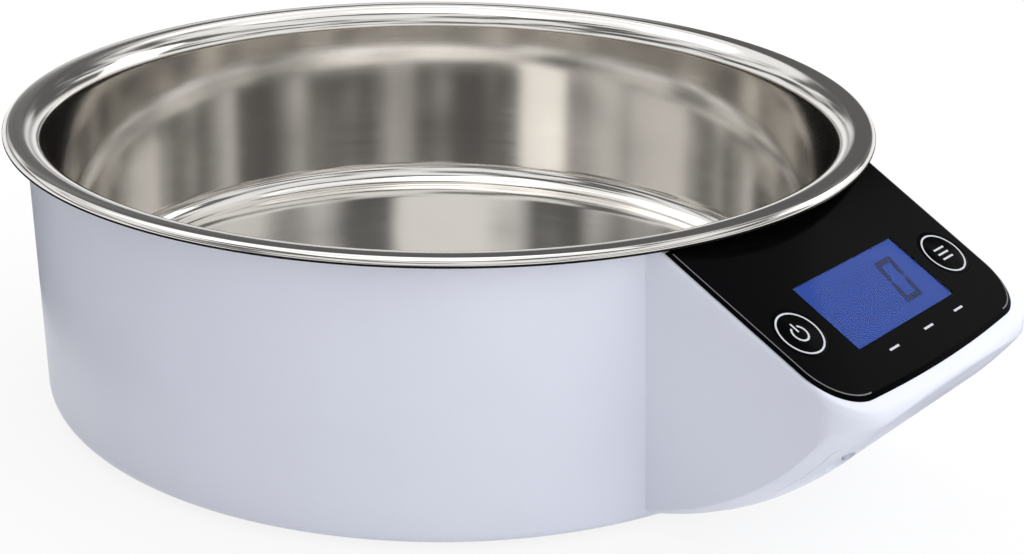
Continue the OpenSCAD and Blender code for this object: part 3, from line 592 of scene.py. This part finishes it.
class OBJECT_OT_steel_bowl(Operator):
    """Spin the steel bowl with its rolled rim"""

    bl_idname = "object.steel_bowl"
    bl_label = "Steel Bowl"

    def execute(self, context):
        shape, look = context.scene.bowl_shape, context.scene.bowl_look
        fillet, corner, roll = 6 * MM, 6 * MM, shape.lip_round
        lip_z = 69.9 * MM
        hem = 2 * SHEET
        food = [(0, FLOOR_Z), (20 * MM, FLOOR_Z), (55 * MM, FLOOR_Z), (85 * MM, FLOOR_Z)]
        food += arc_points((BOWL_FOOT_R - corner, FLOOR_Z + corner), corner, -90, 0, 14)
        food += [(BOWL_FOOT_R + (BOWL_TOP_R - BOWL_FOOT_R) * k / 4, FLOOR_Z + corner
                  + (RIM_Z - fillet - FLOOR_Z - corner) * k / 4) for k in (1, 2, 3)]
        food += arc_points((BOWL_TOP_R + fillet, RIM_Z - fillet), fillet, 180, 90, 16)
        food += arc_points((RIM_R - roll, RIM_Z - roll), roll, 90, 0, 12)
        food += arc_points((RIM_R - hem / 2, lip_z + hem / 2), hem / 2, 0, -180, 8)
        under = [(RIM_R - hem, RIM_Z - SHEET - 0.2 * MM), (RIM_R - hem - 0.2 * MM, RIM_Z - SHEET)]
        under += arc_points((BOWL_TOP_R + fillet, RIM_Z - fillet), fillet - SHEET, 90, 180, 12)
        under += arc_points((BOWL_FOOT_R - corner, FLOOR_Z + corner), corner + SHEET, 0, -90, 12)
        under += [(55 * MM, FLOOR_Z - SHEET), (0, FLOOR_Z - SHEET)]
        bowl = turned("bowl_shell", food + under, steps=shape.turns)
        smooth(bowl, 50)
        settle(bowl, "bowl", spun_steel(look), ["steel_bowl"])
        return {"FINISHED"}


class OBJECT_OT_round_housing(Operator):
    """Spin the round wall and the deck of the housing"""

    bl_idname = "object.round_housing"
    bl_label = "Round Housing"

    def execute(self, context):
        shape, look = context.scene.bowl_shape, context.scene.bowl_look
        shell = moulded("white_gloss_shell", look.shell_colour, rough=SHELL_ROUGH)
        inner_top = BODY_TOP_R - WALL
        slope = (BODY_TOP_R - BODY_FOOT_R) / (BODY_TOP_Z - SKIRT_Z)
        deck_inner = inner_top - slope * (BODY_TOP_Z - DECK_TOP_Z)
        skirt = 99.9 * MM
        foot = 3 * MM
        outline = [(skirt, SKIRT_Z)]
        outline += arc_points((BODY_FOOT_R + slope * foot - foot, SKIRT_Z + foot), foot, -90, 0, 10)
        outline += [(BODY_FOOT_R + slope * k * 22 * MM, SKIRT_Z + k * 22 * MM) for k in (1, 2)]
        lip = 0.8 * MM
        outline += arc_points((BODY_TOP_R - lip, BODY_TOP_Z - lip), lip, 0, 90, 6)
        outline += arc_points((inner_top + 0.4 * MM, BODY_TOP_Z - 0.4 * MM), 0.4 * MM, 90, 180, 4)
        fillet = 1.5 * MM
        outline += arc_points((deck_inner - fillet, DECK_TOP_Z + fillet), fillet, 0, -90, 6)
        outline += [(60 * MM, DECK_TOP_Z), (0, DECK_TOP_Z), (0, DECK_Z), (60 * MM, DECK_Z), (skirt, DECK_Z)]
        wall = turned("housing_wall", outline, steps=shape.turns, closed=True)
        at_axis = Matrix.Translation((0, BOWL_Y, DECK_Z))
        reach = 51 * MM
        cut_with(wall, [
            block("cut_deck", (16 * MM, reach, 20 * MM), at_axis),
            block("cut_lead", (8 * MM, 12 * MM, 3 * MM),
                  Matrix.Translation((0, BOWL_Y - BODY_FOOT_R, DECK_Z - 1.8 * MM)))])
        smooth(wall, 35)
        settle(wall, "base", shell, ["housing"])

        bm = bmesh.new()
        size = Vector((18.8 * MM, 53.8 * MM))
        low, high = DECK_TOP_Z - 0.2 * MM, DECK_TOP_Z + 0.4 * MM
        bmesh.ops.create_cube(bm, size=1.0)
        bmesh.ops.scale(bm, vec=(size.x, size.y, high - low), verts=bm.verts)
        bmesh.ops.translate(bm, vec=(0, BOWL_Y, (high + low) / 2), verts=bm.verts)
        lip = finish_mesh(bm, "splash_lip")
        cut_with(lip, [block("cut_lip", (16 * MM, reach, 10 * MM),
                             Matrix.Translation((0, BOWL_Y, DECK_TOP_Z)))])
        bm = bmesh.new()
        bm.from_mesh(lip.data)
        top = [e for e in bm.edges if on_outline(e, lambda c: c.z > high - 1e-6) and e.calc_face_angle(0) > 1]
        round_edges(bm, top, 0.2 * MM, 2)
        bm.to_mesh(lip.data)
        bm.free()
        smooth(lip, 40)
        settle(lip, "base", shell)

        for i in range(6):
            turn = math.radians(60 * i)
            x, y = 90 * MM * math.cos(turn), BOWL_Y + 90 * MM * math.sin(turn)
            post = turned("screw_post_%d" % (i + 1), [
                (1.25 * MM, BASE_TOP_Z), (3.2 * MM, BASE_TOP_Z), (3.4 * MM, BASE_TOP_Z + 0.2 * MM),
                (3.6 * MM, DECK_Z + 0.1 * MM), (1.25 * MM, DECK_Z + 0.1 * MM)],
                steps=24, closed=True, centre=(x, y))
            smooth(post, 40)
            settle(post, "base", shell)
        return {"FINISHED"}


class OBJECT_OT_nose_shell(Operator):
    """Shape the sloping nose with its rounded edges and the recess for the panel"""

    bl_idname = "object.nose_shell"
    bl_label = "Nose Shell"

    def execute(self, context):
        shape, look = context.scene.bowl_shape, context.scene.bowl_look
        shell = moulded("white_gloss_shell", look.shell_colour, rough=SHELL_ROUGH)
        arc = BODY_TOP_R - 1.3 * MM
        wide, deep = shape.nose_edge * 0.55, shape.nose_edge
        rings = [nose_ring(BORDER, arc, lambda x, s: face_height(s, ROOF_TOP), PANEL_FRONT_CUT),
                 nose_ring(BORDER, arc, lambda x, s: face_height(s, PANEL_PROUD), PANEL_FRONT_CUT)]
        for k in range(7):
            turn = math.radians(15 * k)
            drop = PANEL_PROUD + deep * (1 - math.cos(turn))
            rings.append(nose_ring(wide * (1 - math.sin(turn)), arc,
                                   lambda x, s: max(face_height(s, drop), keel_height(x, s) + 0.3 * MM)))
        rings.append(nose_ring(0, arc, lambda x, s: keel_height(x, s) + 0.12 * MM))
        for k in range(1, 4):
            inset = shape.keel_edge * k / 3
            rings.append(nose_ring(inset, arc, keel_height))
        inner, inner_arc = WALL + NOSE_SPREAD, arc + 1.1 * MM
        rings.append(nose_ring(inner, inner_arc, keel_height))
        rings.append(nose_ring(inner, inner_arc, lambda x, s: max(face_height(s, ROOF_BOTTOM), 0)))
        bm = shell_of(rings)
        slice_off(bm, (0, 0, BODY_TOP_Z - 0.05 * MM), (0, 0, 1))
        nose = finish_mesh(bm, "nose_shell")

        cutters = [block("cut_screen", (45.5 * MM, 23.9 * MM, 12 * MM),
                         panel_matrix(0, WINDOW_DROP, -4 * MM))]
        for side in (-1, 1):
            cutters.append(rod("cut_key", 7.7 * MM, 12 * MM,
                               panel_matrix(side * KEY_X, WINDOW_DROP, -4 * MM)))
        cut_with(nose, cutters)
        smooth(nose, 30)
        settle(nose, "base", shell, ["housing"])
        return {"FINISHED"}


class OBJECT_OT_display_panel(Operator):
    """Shape the black panel with its softened edge"""

    bl_idname = "object.display_panel"
    bl_label = "Display Panel"

    def execute(self, context):
        shape, look = context.scene.bowl_shape, context.scene.bowl_look
        lip, soft = PANEL_LIP, shape.panel_edge
        steps = [(BORDER + LOOSE, PANEL_T), (BORDER + LOOSE, PANEL_PROUD - 0.03 * MM),
                 (lip, PANEL_PROUD - 0.03 * MM), (lip, PANEL_PROUD - 0.15 * MM),
                 (lip + 0.55 * MM, soft * 0.6), (lip + 0.75 * MM, soft * 0.2), (lip + 1.0 * MM, 0)]
        rings = []
        for inset, drop in steps:
            rings.append(nose_ring(inset, PANEL_ARC_R, lambda x, s: face_height(s, drop), PANEL_FRONT_CUT))
        bm = shell_of(rings)
        slice_off(bm, (0, 0, BODY_TOP_Z - 0.03 * MM), (0, 0, 1))
        panel = finish_mesh(bm, "black_panel")
        cutters = [block("cut_window", (WINDOW_W, WINDOW_H, 12 * MM), panel_matrix(0, WINDOW_DROP))]
        for side in (-1, 1):
            cutters.append(rod("cut_cap", KEY_R + 0.06 * MM, 12 * MM,
                               panel_matrix(side * KEY_X, WINDOW_DROP), 96))
        cut_with(panel, cutters)
        smooth(panel, 8)
        settle(panel, "base", black_gloss(look), ["display_panel"])

        # Thin grey strip along the sides and corners of the panel, just inside its bevel: a painted highlight
        # of the bevel's edge, left off across the front
        highlight_steps = ((0.7 * MM, 0.2 * MM), (0.8 * MM, -0.02 * MM),
                      (1.0 * MM, -0.02 * MM), (1.05 * MM, 0.1 * MM))
        rings = [nose_ring(lip + inset, PANEL_ARC_R, lambda x, s: face_height(s, drop), PANEL_FRONT_CUT)
                 for inset, drop in highlight_steps]
        bm = shell_of(rings, capped=False)
        slice_off(bm, (0, 0, BODY_TOP_Z - 0.04 * MM), (0, 0, 1))
        centres = [(f, f.calc_center_median()) for f in bm.faces]
        front = [f for f, c in centres if abs(c.x) < 29 * MM and c.y < -90 * MM]
        bmesh.ops.delete(bm, geom=front, context="FACES")
        bmesh.ops.holes_fill(bm, edges=bm.edges, sides=0)
        line = finish_mesh(bm, "panel_painted_highlight_line")
        # The grey ink here is a painted highlight of the bevel's edge, not print
        settle(line, "base", print_ink("painted_highlight_line", (0.16, 0.16, 0.17)))
        return {"FINISHED"}


def flat_shape(bm, points, matrix, thickness):
    """A thin printed or etched shape from a closed outline."""
    face = bm.faces.new([bm.verts.new(matrix @ Vector((p[0], p[1], 0))) for p in points])
    face.normal_update()
    up = matrix.to_3x3() @ Vector((0, 0, 1))
    if face.normal.dot(up) < 0:
        face.normal_flip()
    grown = bmesh.ops.extrude_face_region(bm, geom=[face])
    top = [v for v in grown["geom"] if isinstance(v, bmesh.types.BMVert)]
    bmesh.ops.translate(bm, verts=top, vec=up.normalized() * thickness)
    bmesh.ops.recalc_face_normals(bm, faces=bm.faces)


def ring_shape(bm, outer, inner, matrix, thickness, start=0, end=360, steps=72):
    """A thin printed ring, or part of one, from a line spun round its centre."""
    verts = [bm.verts.new((outer, 0, 0)), bm.verts.new((outer, 0, thickness)),
             bm.verts.new((inner, 0, thickness)), bm.verts.new((inner, 0, 0))]
    edges = [bm.edges.new((verts[i], verts[(i + 1) % 4])) for i in range(4)]
    full = end - start >= 360
    geom = verts + edges
    before = set(bm.verts)
    bmesh.ops.rotate(bm, verts=verts, cent=(0, 0, 0), matrix=Matrix.Rotation(math.radians(start), 3, "Z"))
    if not full:
        geom += [bm.faces.new(verts)]
    bmesh.ops.spin(bm, geom=geom, cent=(0, 0, 0), axis=(0, 0, 1), angle=math.radians(end - start),
                   steps=steps, use_merge=full)
    moved = [v for v in bm.verts if v not in before or v in verts]
    bmesh.ops.transform(bm, matrix=matrix, verts=moved)


def digit_segments(bm, names, at, size, width, thickness, slant=0.2):
    """Bars of a seven-bar digit with mitred corners, on the screen's face."""
    wide, high = size
    gap, half = 0.1 * MM, high / 2
    flat = [(gap, 0), (wide - gap, 0), (wide - width - gap, width), (width + gap, width)]
    upright = [(0, gap), (width, width + gap), (width, half - width / 2 - gap),
               (width / 2, half - gap), (0, half - width / 4 - gap)]
    middle = [(width / 2 + gap, half), (width + gap, half - width / 2),
              (wide - width - gap, half - width / 2), (wide - width / 2 - gap, half),
              (wide - width - gap, half + width / 2), (width + gap, half + width / 2)]
    bars = {"a": [(x, high - y) for x, y in flat], "d": flat, "g": middle,
            "e": upright, "c": [(wide - x, y) for x, y in upright],
            "f": [(x, high - y) for x, y in upright], "b": [(wide - x, high - y) for x, y in upright]}
    place = panel_matrix(at[0], at[1], -0.63 * MM)
    for name in names:
        flat_shape(bm, [(x + y * slant, y) for x, y in bars[name]], place, thickness)


class OBJECT_OT_screen(Operator):
    """Light the screen and lay out its digits"""

    bl_idname = "object.screen"
    bl_label = "Screen"

    def execute(self, context):
        look = context.scene.bowl_look
        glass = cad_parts["lcd_glass"]
        glass.data.materials.clear()
        glow = screen_glow("lit_screen", look.screen_colour, 1.0)
        glass.data.materials.append(glow)
        size = Vector((WINDOW_W - 0.1 * MM, WINDOW_H - 0.1 * MM, 0))
        face = block("screen_face", (size.x, size.y, 1.55 * MM), panel_matrix(0, WINDOW_DROP, -1.4 * MM))
        settle(face, "base", glow)
        cover = block("clear_cover", (size.x, size.y, 0.45 * MM), panel_matrix(0, WINDOW_DROP, -0.225 * MM))
        settle(cover, "base", clear_sheet(), ["display_window"])
        size = (7.0 * MM, 12.2 * MM)
        lit = bmesh.new()
        ghost = bmesh.new()
        for i in range(4):
            at = (-19.8 * MM + i * 8.6 * MM, WINDOW_DROP + 6.0 * MM)
            if i == 3:
                digit_segments(lit, "abcdef", at, size, 1.6 * MM, 0.05 * MM)
            else:
                digit_segments(ghost, "abcdefg", at, size, 1.4 * MM, 0.03 * MM)
        digits = finish_mesh(lit, "screen_digit")
        settle(digits, "base", screen_glow("dark_segment", shade(look.screen_colour, 0.26), 1.0))
        faint = finish_mesh(ghost, "screen_ghosts")
        settle(faint, "base", screen_glow("ghost_segment", shade(look.screen_colour, 0.88), 1.0))
        return {"FINISHED"}


class OBJECT_OT_keys(Operator):
    """Shape the two flush key caps and print their rings and marks"""

    bl_idname = "object.keys"
    bl_label = "Keys"

    def execute(self, context):
        shape, look = context.scene.bowl_shape, context.scene.bowl_look
        ink = print_ink("light_print", look.ink_colour)
        for side, body, node in ((-1, "zero_button", "zero_key"), (1, "mode_button", "mode_key")):
            x = side * KEY_X
            bm = bmesh.new()
            outline = [(0, 0)]
            outline += arc_points((KEY_R - 0.1 * MM, -0.1 * MM), 0.1 * MM, 90, 0, 3)
            outline += [(KEY_R, -2 * MM), (KEY_R + 0.5 * MM, -2 * MM), (KEY_R + 0.5 * MM, -2.6 * MM),
                        (2 * MM, -2.6 * MM), (2 * MM, -3.0 * MM), (0, -3.0 * MM)]
            verts, edges = wire(bm, [Vector((p[0], 0, p[1])) for p in outline], False)
            bmesh.ops.spin(bm, geom=verts + edges, cent=(0, 0, 0), axis=(0, 0, 1), angle=math.tau,
                           steps=72, use_merge=True)
            bmesh.ops.transform(bm, matrix=panel_matrix(x, WINDOW_DROP), verts=bm.verts)
            cap = finish_mesh(bm, node + "_cap")
            smooth(cap, 30)
            settle(cap, body, black_gloss(look), [node])

            bm = bmesh.new()
            place = panel_matrix(x, WINDOW_DROP, -0.01 * MM)
            rise = 0.04 * MM
            ring_shape(bm, shape.ring_radius, shape.ring_radius - 0.45 * MM, place, rise, steps=96)
            if side < 0:
                ring_shape(bm, 2.3 * MM, 1.8 * MM, place, rise, 120, 420, 40)
                flat_shape(bm, [(-0.25 * MM, 0.4 * MM), (0.25 * MM, 0.4 * MM), (0.25 * MM, 2.9 * MM),
                                (-0.25 * MM, 2.9 * MM)], place, rise)
            else:
                half = 2.2 * MM
                for k in (-1, 0, 1):
                    low, high = k * 1.5 * MM - 0.25 * MM, k * 1.5 * MM + 0.25 * MM
                    flat_shape(bm, [(-half, low), (half, low), (half, high), (-half, high)], place, rise)
            marks = finish_mesh(bm, node + "_marks")
            settle(marks, body, ink)

        bm = bmesh.new()
        for x in (-11.7 * MM, 3.4 * MM, 17 * MM):
            place = panel_matrix(x, MARKS_DROP, -0.01 * MM)
            flat_shape(bm, [(-1.9 * MM, -0.28 * MM), (1.9 * MM, -0.28 * MM), (1.9 * MM, 0.28 * MM),
                            (-1.9 * MM, 0.28 * MM)], place, 0.04 * MM)
        legends = finish_mesh(bm, "panel_marks")
        settle(legends, "base", ink)
        return {"FINISHED"}


class OBJECT_OT_inner_finishes(Operator):
    """Give the solids that stay their finishes"""

    bl_idname = "object.inner_finishes"
    bl_label = "Inner Finishes"

    def execute(self, context):
        look = context.scene.bowl_look
        shell = moulded("white_gloss_shell", look.shell_colour)
        inner = moulded("white_satin_inner", look.inner_colour, rough=(0.45, 0.55), grain=0.03)
        screw = plain_metal("zinc_screw", (0.62, 0.62, 0.63))
        black = moulded("black_moulding", (0.02, 0.02, 0.022), rough=(0.4, 0.5), grain=0.03)
        finishes = {
            "base_plate": inner, "weighing_platform": inner, "lcd_holder": inner, "lead_socket": inner,
            "zero_plunger": inner, "mode_plunger": inner, "nose_cover": shell, "battery_door": shell,
            "base_screws": screw, "platform_screws": screw, "load_cell_screws": screw, "board_screws": screw,
            "nose_cover_screws": screw, "rubber_feet": soft_rubber("foot_rubber", (0.03, 0.03, 0.032)),
            "platform_pads": soft_rubber("pad_rubber", (0.55, 0.55, 0.56)),
            "contact_strips": soft_rubber("strip_rubber", (0.6, 0.18, 0.25)),
            "panel_adhesive": soft_rubber("tape", (0.03, 0.03, 0.03)),
            "gauge_seal": soft_rubber("seal", (0.75, 0.75, 0.72)),
            "load_cell": plain_metal("milled_aluminium", (0.72, 0.73, 0.75), (0.3, 0.42)),
            "load_cell_lead": moulded("grey_jacket", (0.16, 0.16, 0.17), rough=(0.5, 0.6)),
            "battery_leads": moulded("red_jacket", (0.4, 0.01, 0.01), rough=(0.4, 0.5)),
            "backlight": moulded("light_guide", (0.7, 0.8, 0.95)), "main_board": circuit_green(),
            "board_chips": black, "switch_bodies": black,
            "battery_left": plain_metal("battery_foil", (0.55, 0.36, 0.08), (0.2, 0.3)),
            "battery_right": plain_metal("battery_foil", (0.55, 0.36, 0.08), (0.2, 0.3)),
            "battery_springs": plain_metal("nickel", (0.7, 0.68, 0.62), (0.12, 0.2)),
            "battery_plates": plain_metal("nickel", (0.7, 0.68, 0.62), (0.12, 0.2)),
        }
        for node, finish in finishes.items():
            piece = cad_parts[node]
            piece.data.materials.clear()
            piece.data.materials.append(finish)
        return {"FINISHED"}


def seen_direct(tree):
    """1 for rays from the camera, from glossy surfaces and through clear ones."""
    paths = tree.nodes.new("ShaderNodeLightPath")
    result = paths.outputs["Is Camera Ray"]
    for name in ("Is Glossy Ray", "Is Transmission Ray"):
        either = tree.nodes.new("ShaderNodeMath")
        either.operation = "MAXIMUM"
        tree.links.new(result, either.inputs[0])
        tree.links.new(paths.outputs[name], either.inputs[1])
        result = either.outputs["Value"]
    return result


def studio_glints(tree, stage):
    """White low down all round; for glossy rays, bright and dim bands higher up."""
    coords = tree.nodes.new("ShaderNodeTexCoord")
    split = tree.nodes.new("ShaderNodeSeparateXYZ")
    tree.links.new(coords.outputs["Generated"], split.inputs["Vector"])
    stretch = tree.nodes.new("ShaderNodeMapping")
    stretch.inputs["Scale"].default_value = (1.6, 1.6, 7.0)
    stretch.inputs["Location"].default_value = (stage.glint_shift, 0.3, 0)
    tree.links.new(coords.outputs["Generated"], stretch.inputs["Vector"])
    bands = between(tree, noise(tree, stretch.outputs["Vector"], 1.0, 2.0), stage.glint_dim, 1.0, 0.45, 0.56)
    high = between(tree, split.outputs["Z"], 0, 1, 0.1, 0.2)
    paths = tree.nodes.new("ShaderNodeLightPath")
    where = tree.nodes.new("ShaderNodeMath")
    where.operation = "MULTIPLY"
    tree.links.new(high, where.inputs[0])
    tree.links.new(paths.outputs["Is Glossy Ray"], where.inputs[1])
    blend = tree.nodes.new("ShaderNodeMix")
    blend.inputs[2].default_value = 1.0
    tree.links.new(where.outputs["Value"], blend.inputs["Factor"])
    tree.links.new(bands, blend.inputs[3])
    return blend.outputs[0]


class OBJECT_OT_stage(Operator):
    """Set the floor, the lamps and the camera"""

    bl_idname = "object.bowl_scale_stage"
    bl_label = "Stage"

    def execute(self, context):
        stage = context.scene.bowl_stage
        scene = context.scene
        scene.view_settings.view_transform = "Standard"

        bm = bmesh.new()
        bmesh.ops.create_grid(bm, x_segments=1, y_segments=1, size=6.0)
        floor = finish_mesh(bm, "floor", outward=False)
        finish = bpy.data.materials.new("studio_floor")
        finish.use_nodes = True
        tree = finish.node_tree
        shader = tree.nodes["Principled BSDF"]
        shader.inputs["Base Color"].default_value = (0.95, 0.95, 0.95, 1)
        shader.inputs["Roughness"].default_value = 0.9
        shader.inputs["Specular IOR Level"].default_value = 0.1
        glow = tree.nodes.new("ShaderNodeEmission")
        glow.inputs["Strength"].default_value = 1.0
        share = tree.nodes.new("ShaderNodeMath")
        share.operation = "MULTIPLY"
        share.inputs[1].default_value = stage.floor_white
        tree.links.new(seen_direct(tree), share.inputs[0])
        mix = tree.nodes.new("ShaderNodeMixShader")
        tree.links.new(share.outputs["Value"], mix.inputs["Fac"])
        tree.links.new(shader.outputs["BSDF"], mix.inputs[1])
        tree.links.new(glow.outputs["Emission"], mix.inputs[2])
        tree.links.new(mix.outputs["Shader"], tree.nodes["Material Output"].inputs["Surface"])
        floor.data.materials.append(finish)

        # A dark ring on the floor round the bowl, seen only by glossy rays: painted dark reflections along
        # the steel rim
        bm = bmesh.new()
        rim = [Vector((r * math.cos(a), r * math.sin(a) + BOWL_Y, 1 * MM)) for r in (0.135, 0.33)
               for a in [math.tau * k / 48 for k in range(48)]]
        verts = [bm.verts.new(p) for p in rim]
        for k in range(48):
            n = (k + 1) % 48
            bm.faces.new((verts[k], verts[48 + k], verts[48 + n], verts[n]))
        card = finish_mesh(bm, "painted_dark_reflection_card", outward=False)
        finish = bpy.data.materials.new("painted_dark_reflection_card")
        finish.use_nodes = True
        shader = finish.node_tree.nodes["Principled BSDF"]
        shader.inputs["Base Color"].default_value = (0.01, 0.01, 0.01, 1)
        shader.inputs["Specular IOR Level"].default_value = 0.0
        card.data.materials.append(finish)
        card.visible_camera = card.visible_diffuse = card.visible_shadow = card.visible_transmission = False

        world = bpy.data.worlds.new("studio")
        scene.world = world
        world.use_nodes = True
        tree = world.node_tree
        seen = seen_direct(tree)
        back = tree.nodes["Background"]
        back.inputs["Color"].default_value = (1, 1, 1, 1)
        tree.links.new(studio_glints(tree, stage), back.inputs["Strength"])
        soft = tree.nodes.new("ShaderNodeBackground")
        soft.inputs["Color"].default_value = (0.95, 0.96, 1.0, 1)
        coords = tree.nodes.new("ShaderNodeTexCoord")
        lean = tree.nodes.new("ShaderNodeVectorMath")
        lean.operation = "DOT_PRODUCT"
        turn = math.radians(stage.bright_side)
        lean.inputs[1].default_value = (math.cos(turn), math.sin(turn), 0)
        tree.links.new(coords.outputs["Generated"], lean.inputs[0])
        tree.links.new(between(tree, lean.outputs["Value"], stage.ambient * (1 - stage.contrast),
                               stage.ambient * (1 + stage.contrast), -1, 1), soft.inputs["Strength"])
        mix = tree.nodes.new("ShaderNodeMixShader")
        output = tree.nodes["World Output"]
        tree.links.new(seen, mix.inputs["Fac"])
        tree.links.new(soft.outputs["Background"], mix.inputs[1])
        tree.links.new(back.outputs["Background"], mix.inputs[2])
        tree.links.new(mix.outputs["Shader"], output.inputs["Surface"])

        def lamp(name, place, aim, size, power):
            light = bpy.data.lights.new(name, "AREA")
            light.shape = "RECTANGLE"
            light.size, light.size_y = size
            light.energy = power
            holder = bpy.data.objects.new(name, light)
            scene.collection.objects.link(holder)
            holder.location = place
            holder.rotation_euler = (Vector(aim) - Vector(place)).to_track_quat("-Z", "Y").to_euler()

        lamp("top_lamp", (0.1, 0.25, 0.9), (0, 0, 0.03), (0.9, 0.9), stage.key_power)
        lamp("side_lamp", (1.0, -0.4, 0.5), (0, -0.05, 0.04), (0.6, 0.6), stage.side_power)

        camera = bpy.data.objects.new("camera", bpy.data.cameras.new("camera"))
        scene.collection.objects.link(camera)
        camera.data.sensor_width = 36.0
        camera.data.lens = 36.0 * 1866.0 / 1024.0
        camera.data.clip_start = 0.01
        camera.data.clip_end = 50.0
        turn = math.radians(-48.1)
        away, height = 0.462, 0.21175
        pitch, yaw, roll = math.radians(22.13), math.radians(2.32), math.radians(1.14)
        forward = Vector((math.sin(yaw) * math.cos(pitch), math.cos(yaw) * math.cos(pitch), -math.sin(pitch)))
        right = Vector((math.cos(yaw), -math.sin(yaw), 0))
        up = right.cross(forward)
        right, up = (math.cos(roll) * right + math.sin(roll) * up,
                     -math.sin(roll) * right + math.cos(roll) * up)
        spin = Matrix.Rotation(turn, 3, "Z")
        place = spin @ Vector((0, -away, height)) + Vector((0, BOWL_Y, 0))
        basis = Matrix((spin @ right, spin @ up, spin @ -forward)).transposed()
        camera.matrix_world = Matrix.Translation(place) @ basis.to_4x4()
        scene.camera = camera
        return {"FINISHED"}


class VIEW3D_PT_bowl_scale(Panel):
    """Lists the steps and the settings of the bowl scale"""

    bl_label = "Bowl Scale"
    bl_idname = "VIEW3D_PT_bowl_scale"
    bl_space_type = "VIEW_3D"
    bl_region_type = "UI"
    bl_category = "Bowl Scale"

    def draw(self, context):
        column = self.layout.column()
        for step in STEPS:
            column.operator(step.bl_idname)
        for group in ("bowl_shape", "bowl_look", "bowl_stage"):
            settings = getattr(context.scene, group)
            for key in settings.bl_rna.properties.keys():
                if key not in ("rna_type", "name"):
                    column.prop(settings, key)


STEPS = (
    OBJECT_OT_steel_bowl,
    OBJECT_OT_round_housing,
    OBJECT_OT_nose_shell,
    OBJECT_OT_display_panel,
    OBJECT_OT_screen,
    OBJECT_OT_keys,
    OBJECT_OT_inner_finishes,
    OBJECT_OT_stage,
)
CLASSES = (BowlScaleShape, BowlScaleLook, BowlScaleStage) + STEPS + (VIEW3D_PT_bowl_scale,)


def register():
    for item in CLASSES:
        bpy.utils.register_class(item)
    bpy.types.Scene.bowl_shape = PointerProperty(type=BowlScaleShape)
    bpy.types.Scene.bowl_look = PointerProperty(type=BowlScaleLook)
    bpy.types.Scene.bowl_stage = PointerProperty(type=BowlScaleStage)


def unregister():
    del bpy.types.Scene.bowl_stage
    del bpy.types.Scene.bowl_look
    del bpy.types.Scene.bowl_shape
    for item in reversed(CLASSES):
        bpy.utils.unregister_class(item)


def main():
    register()
    for step in STEPS:
        group, name = step.bl_idname.split(".")
        getattr(getattr(bpy.ops, group), name)()


if __name__ == "__main__":
    main()
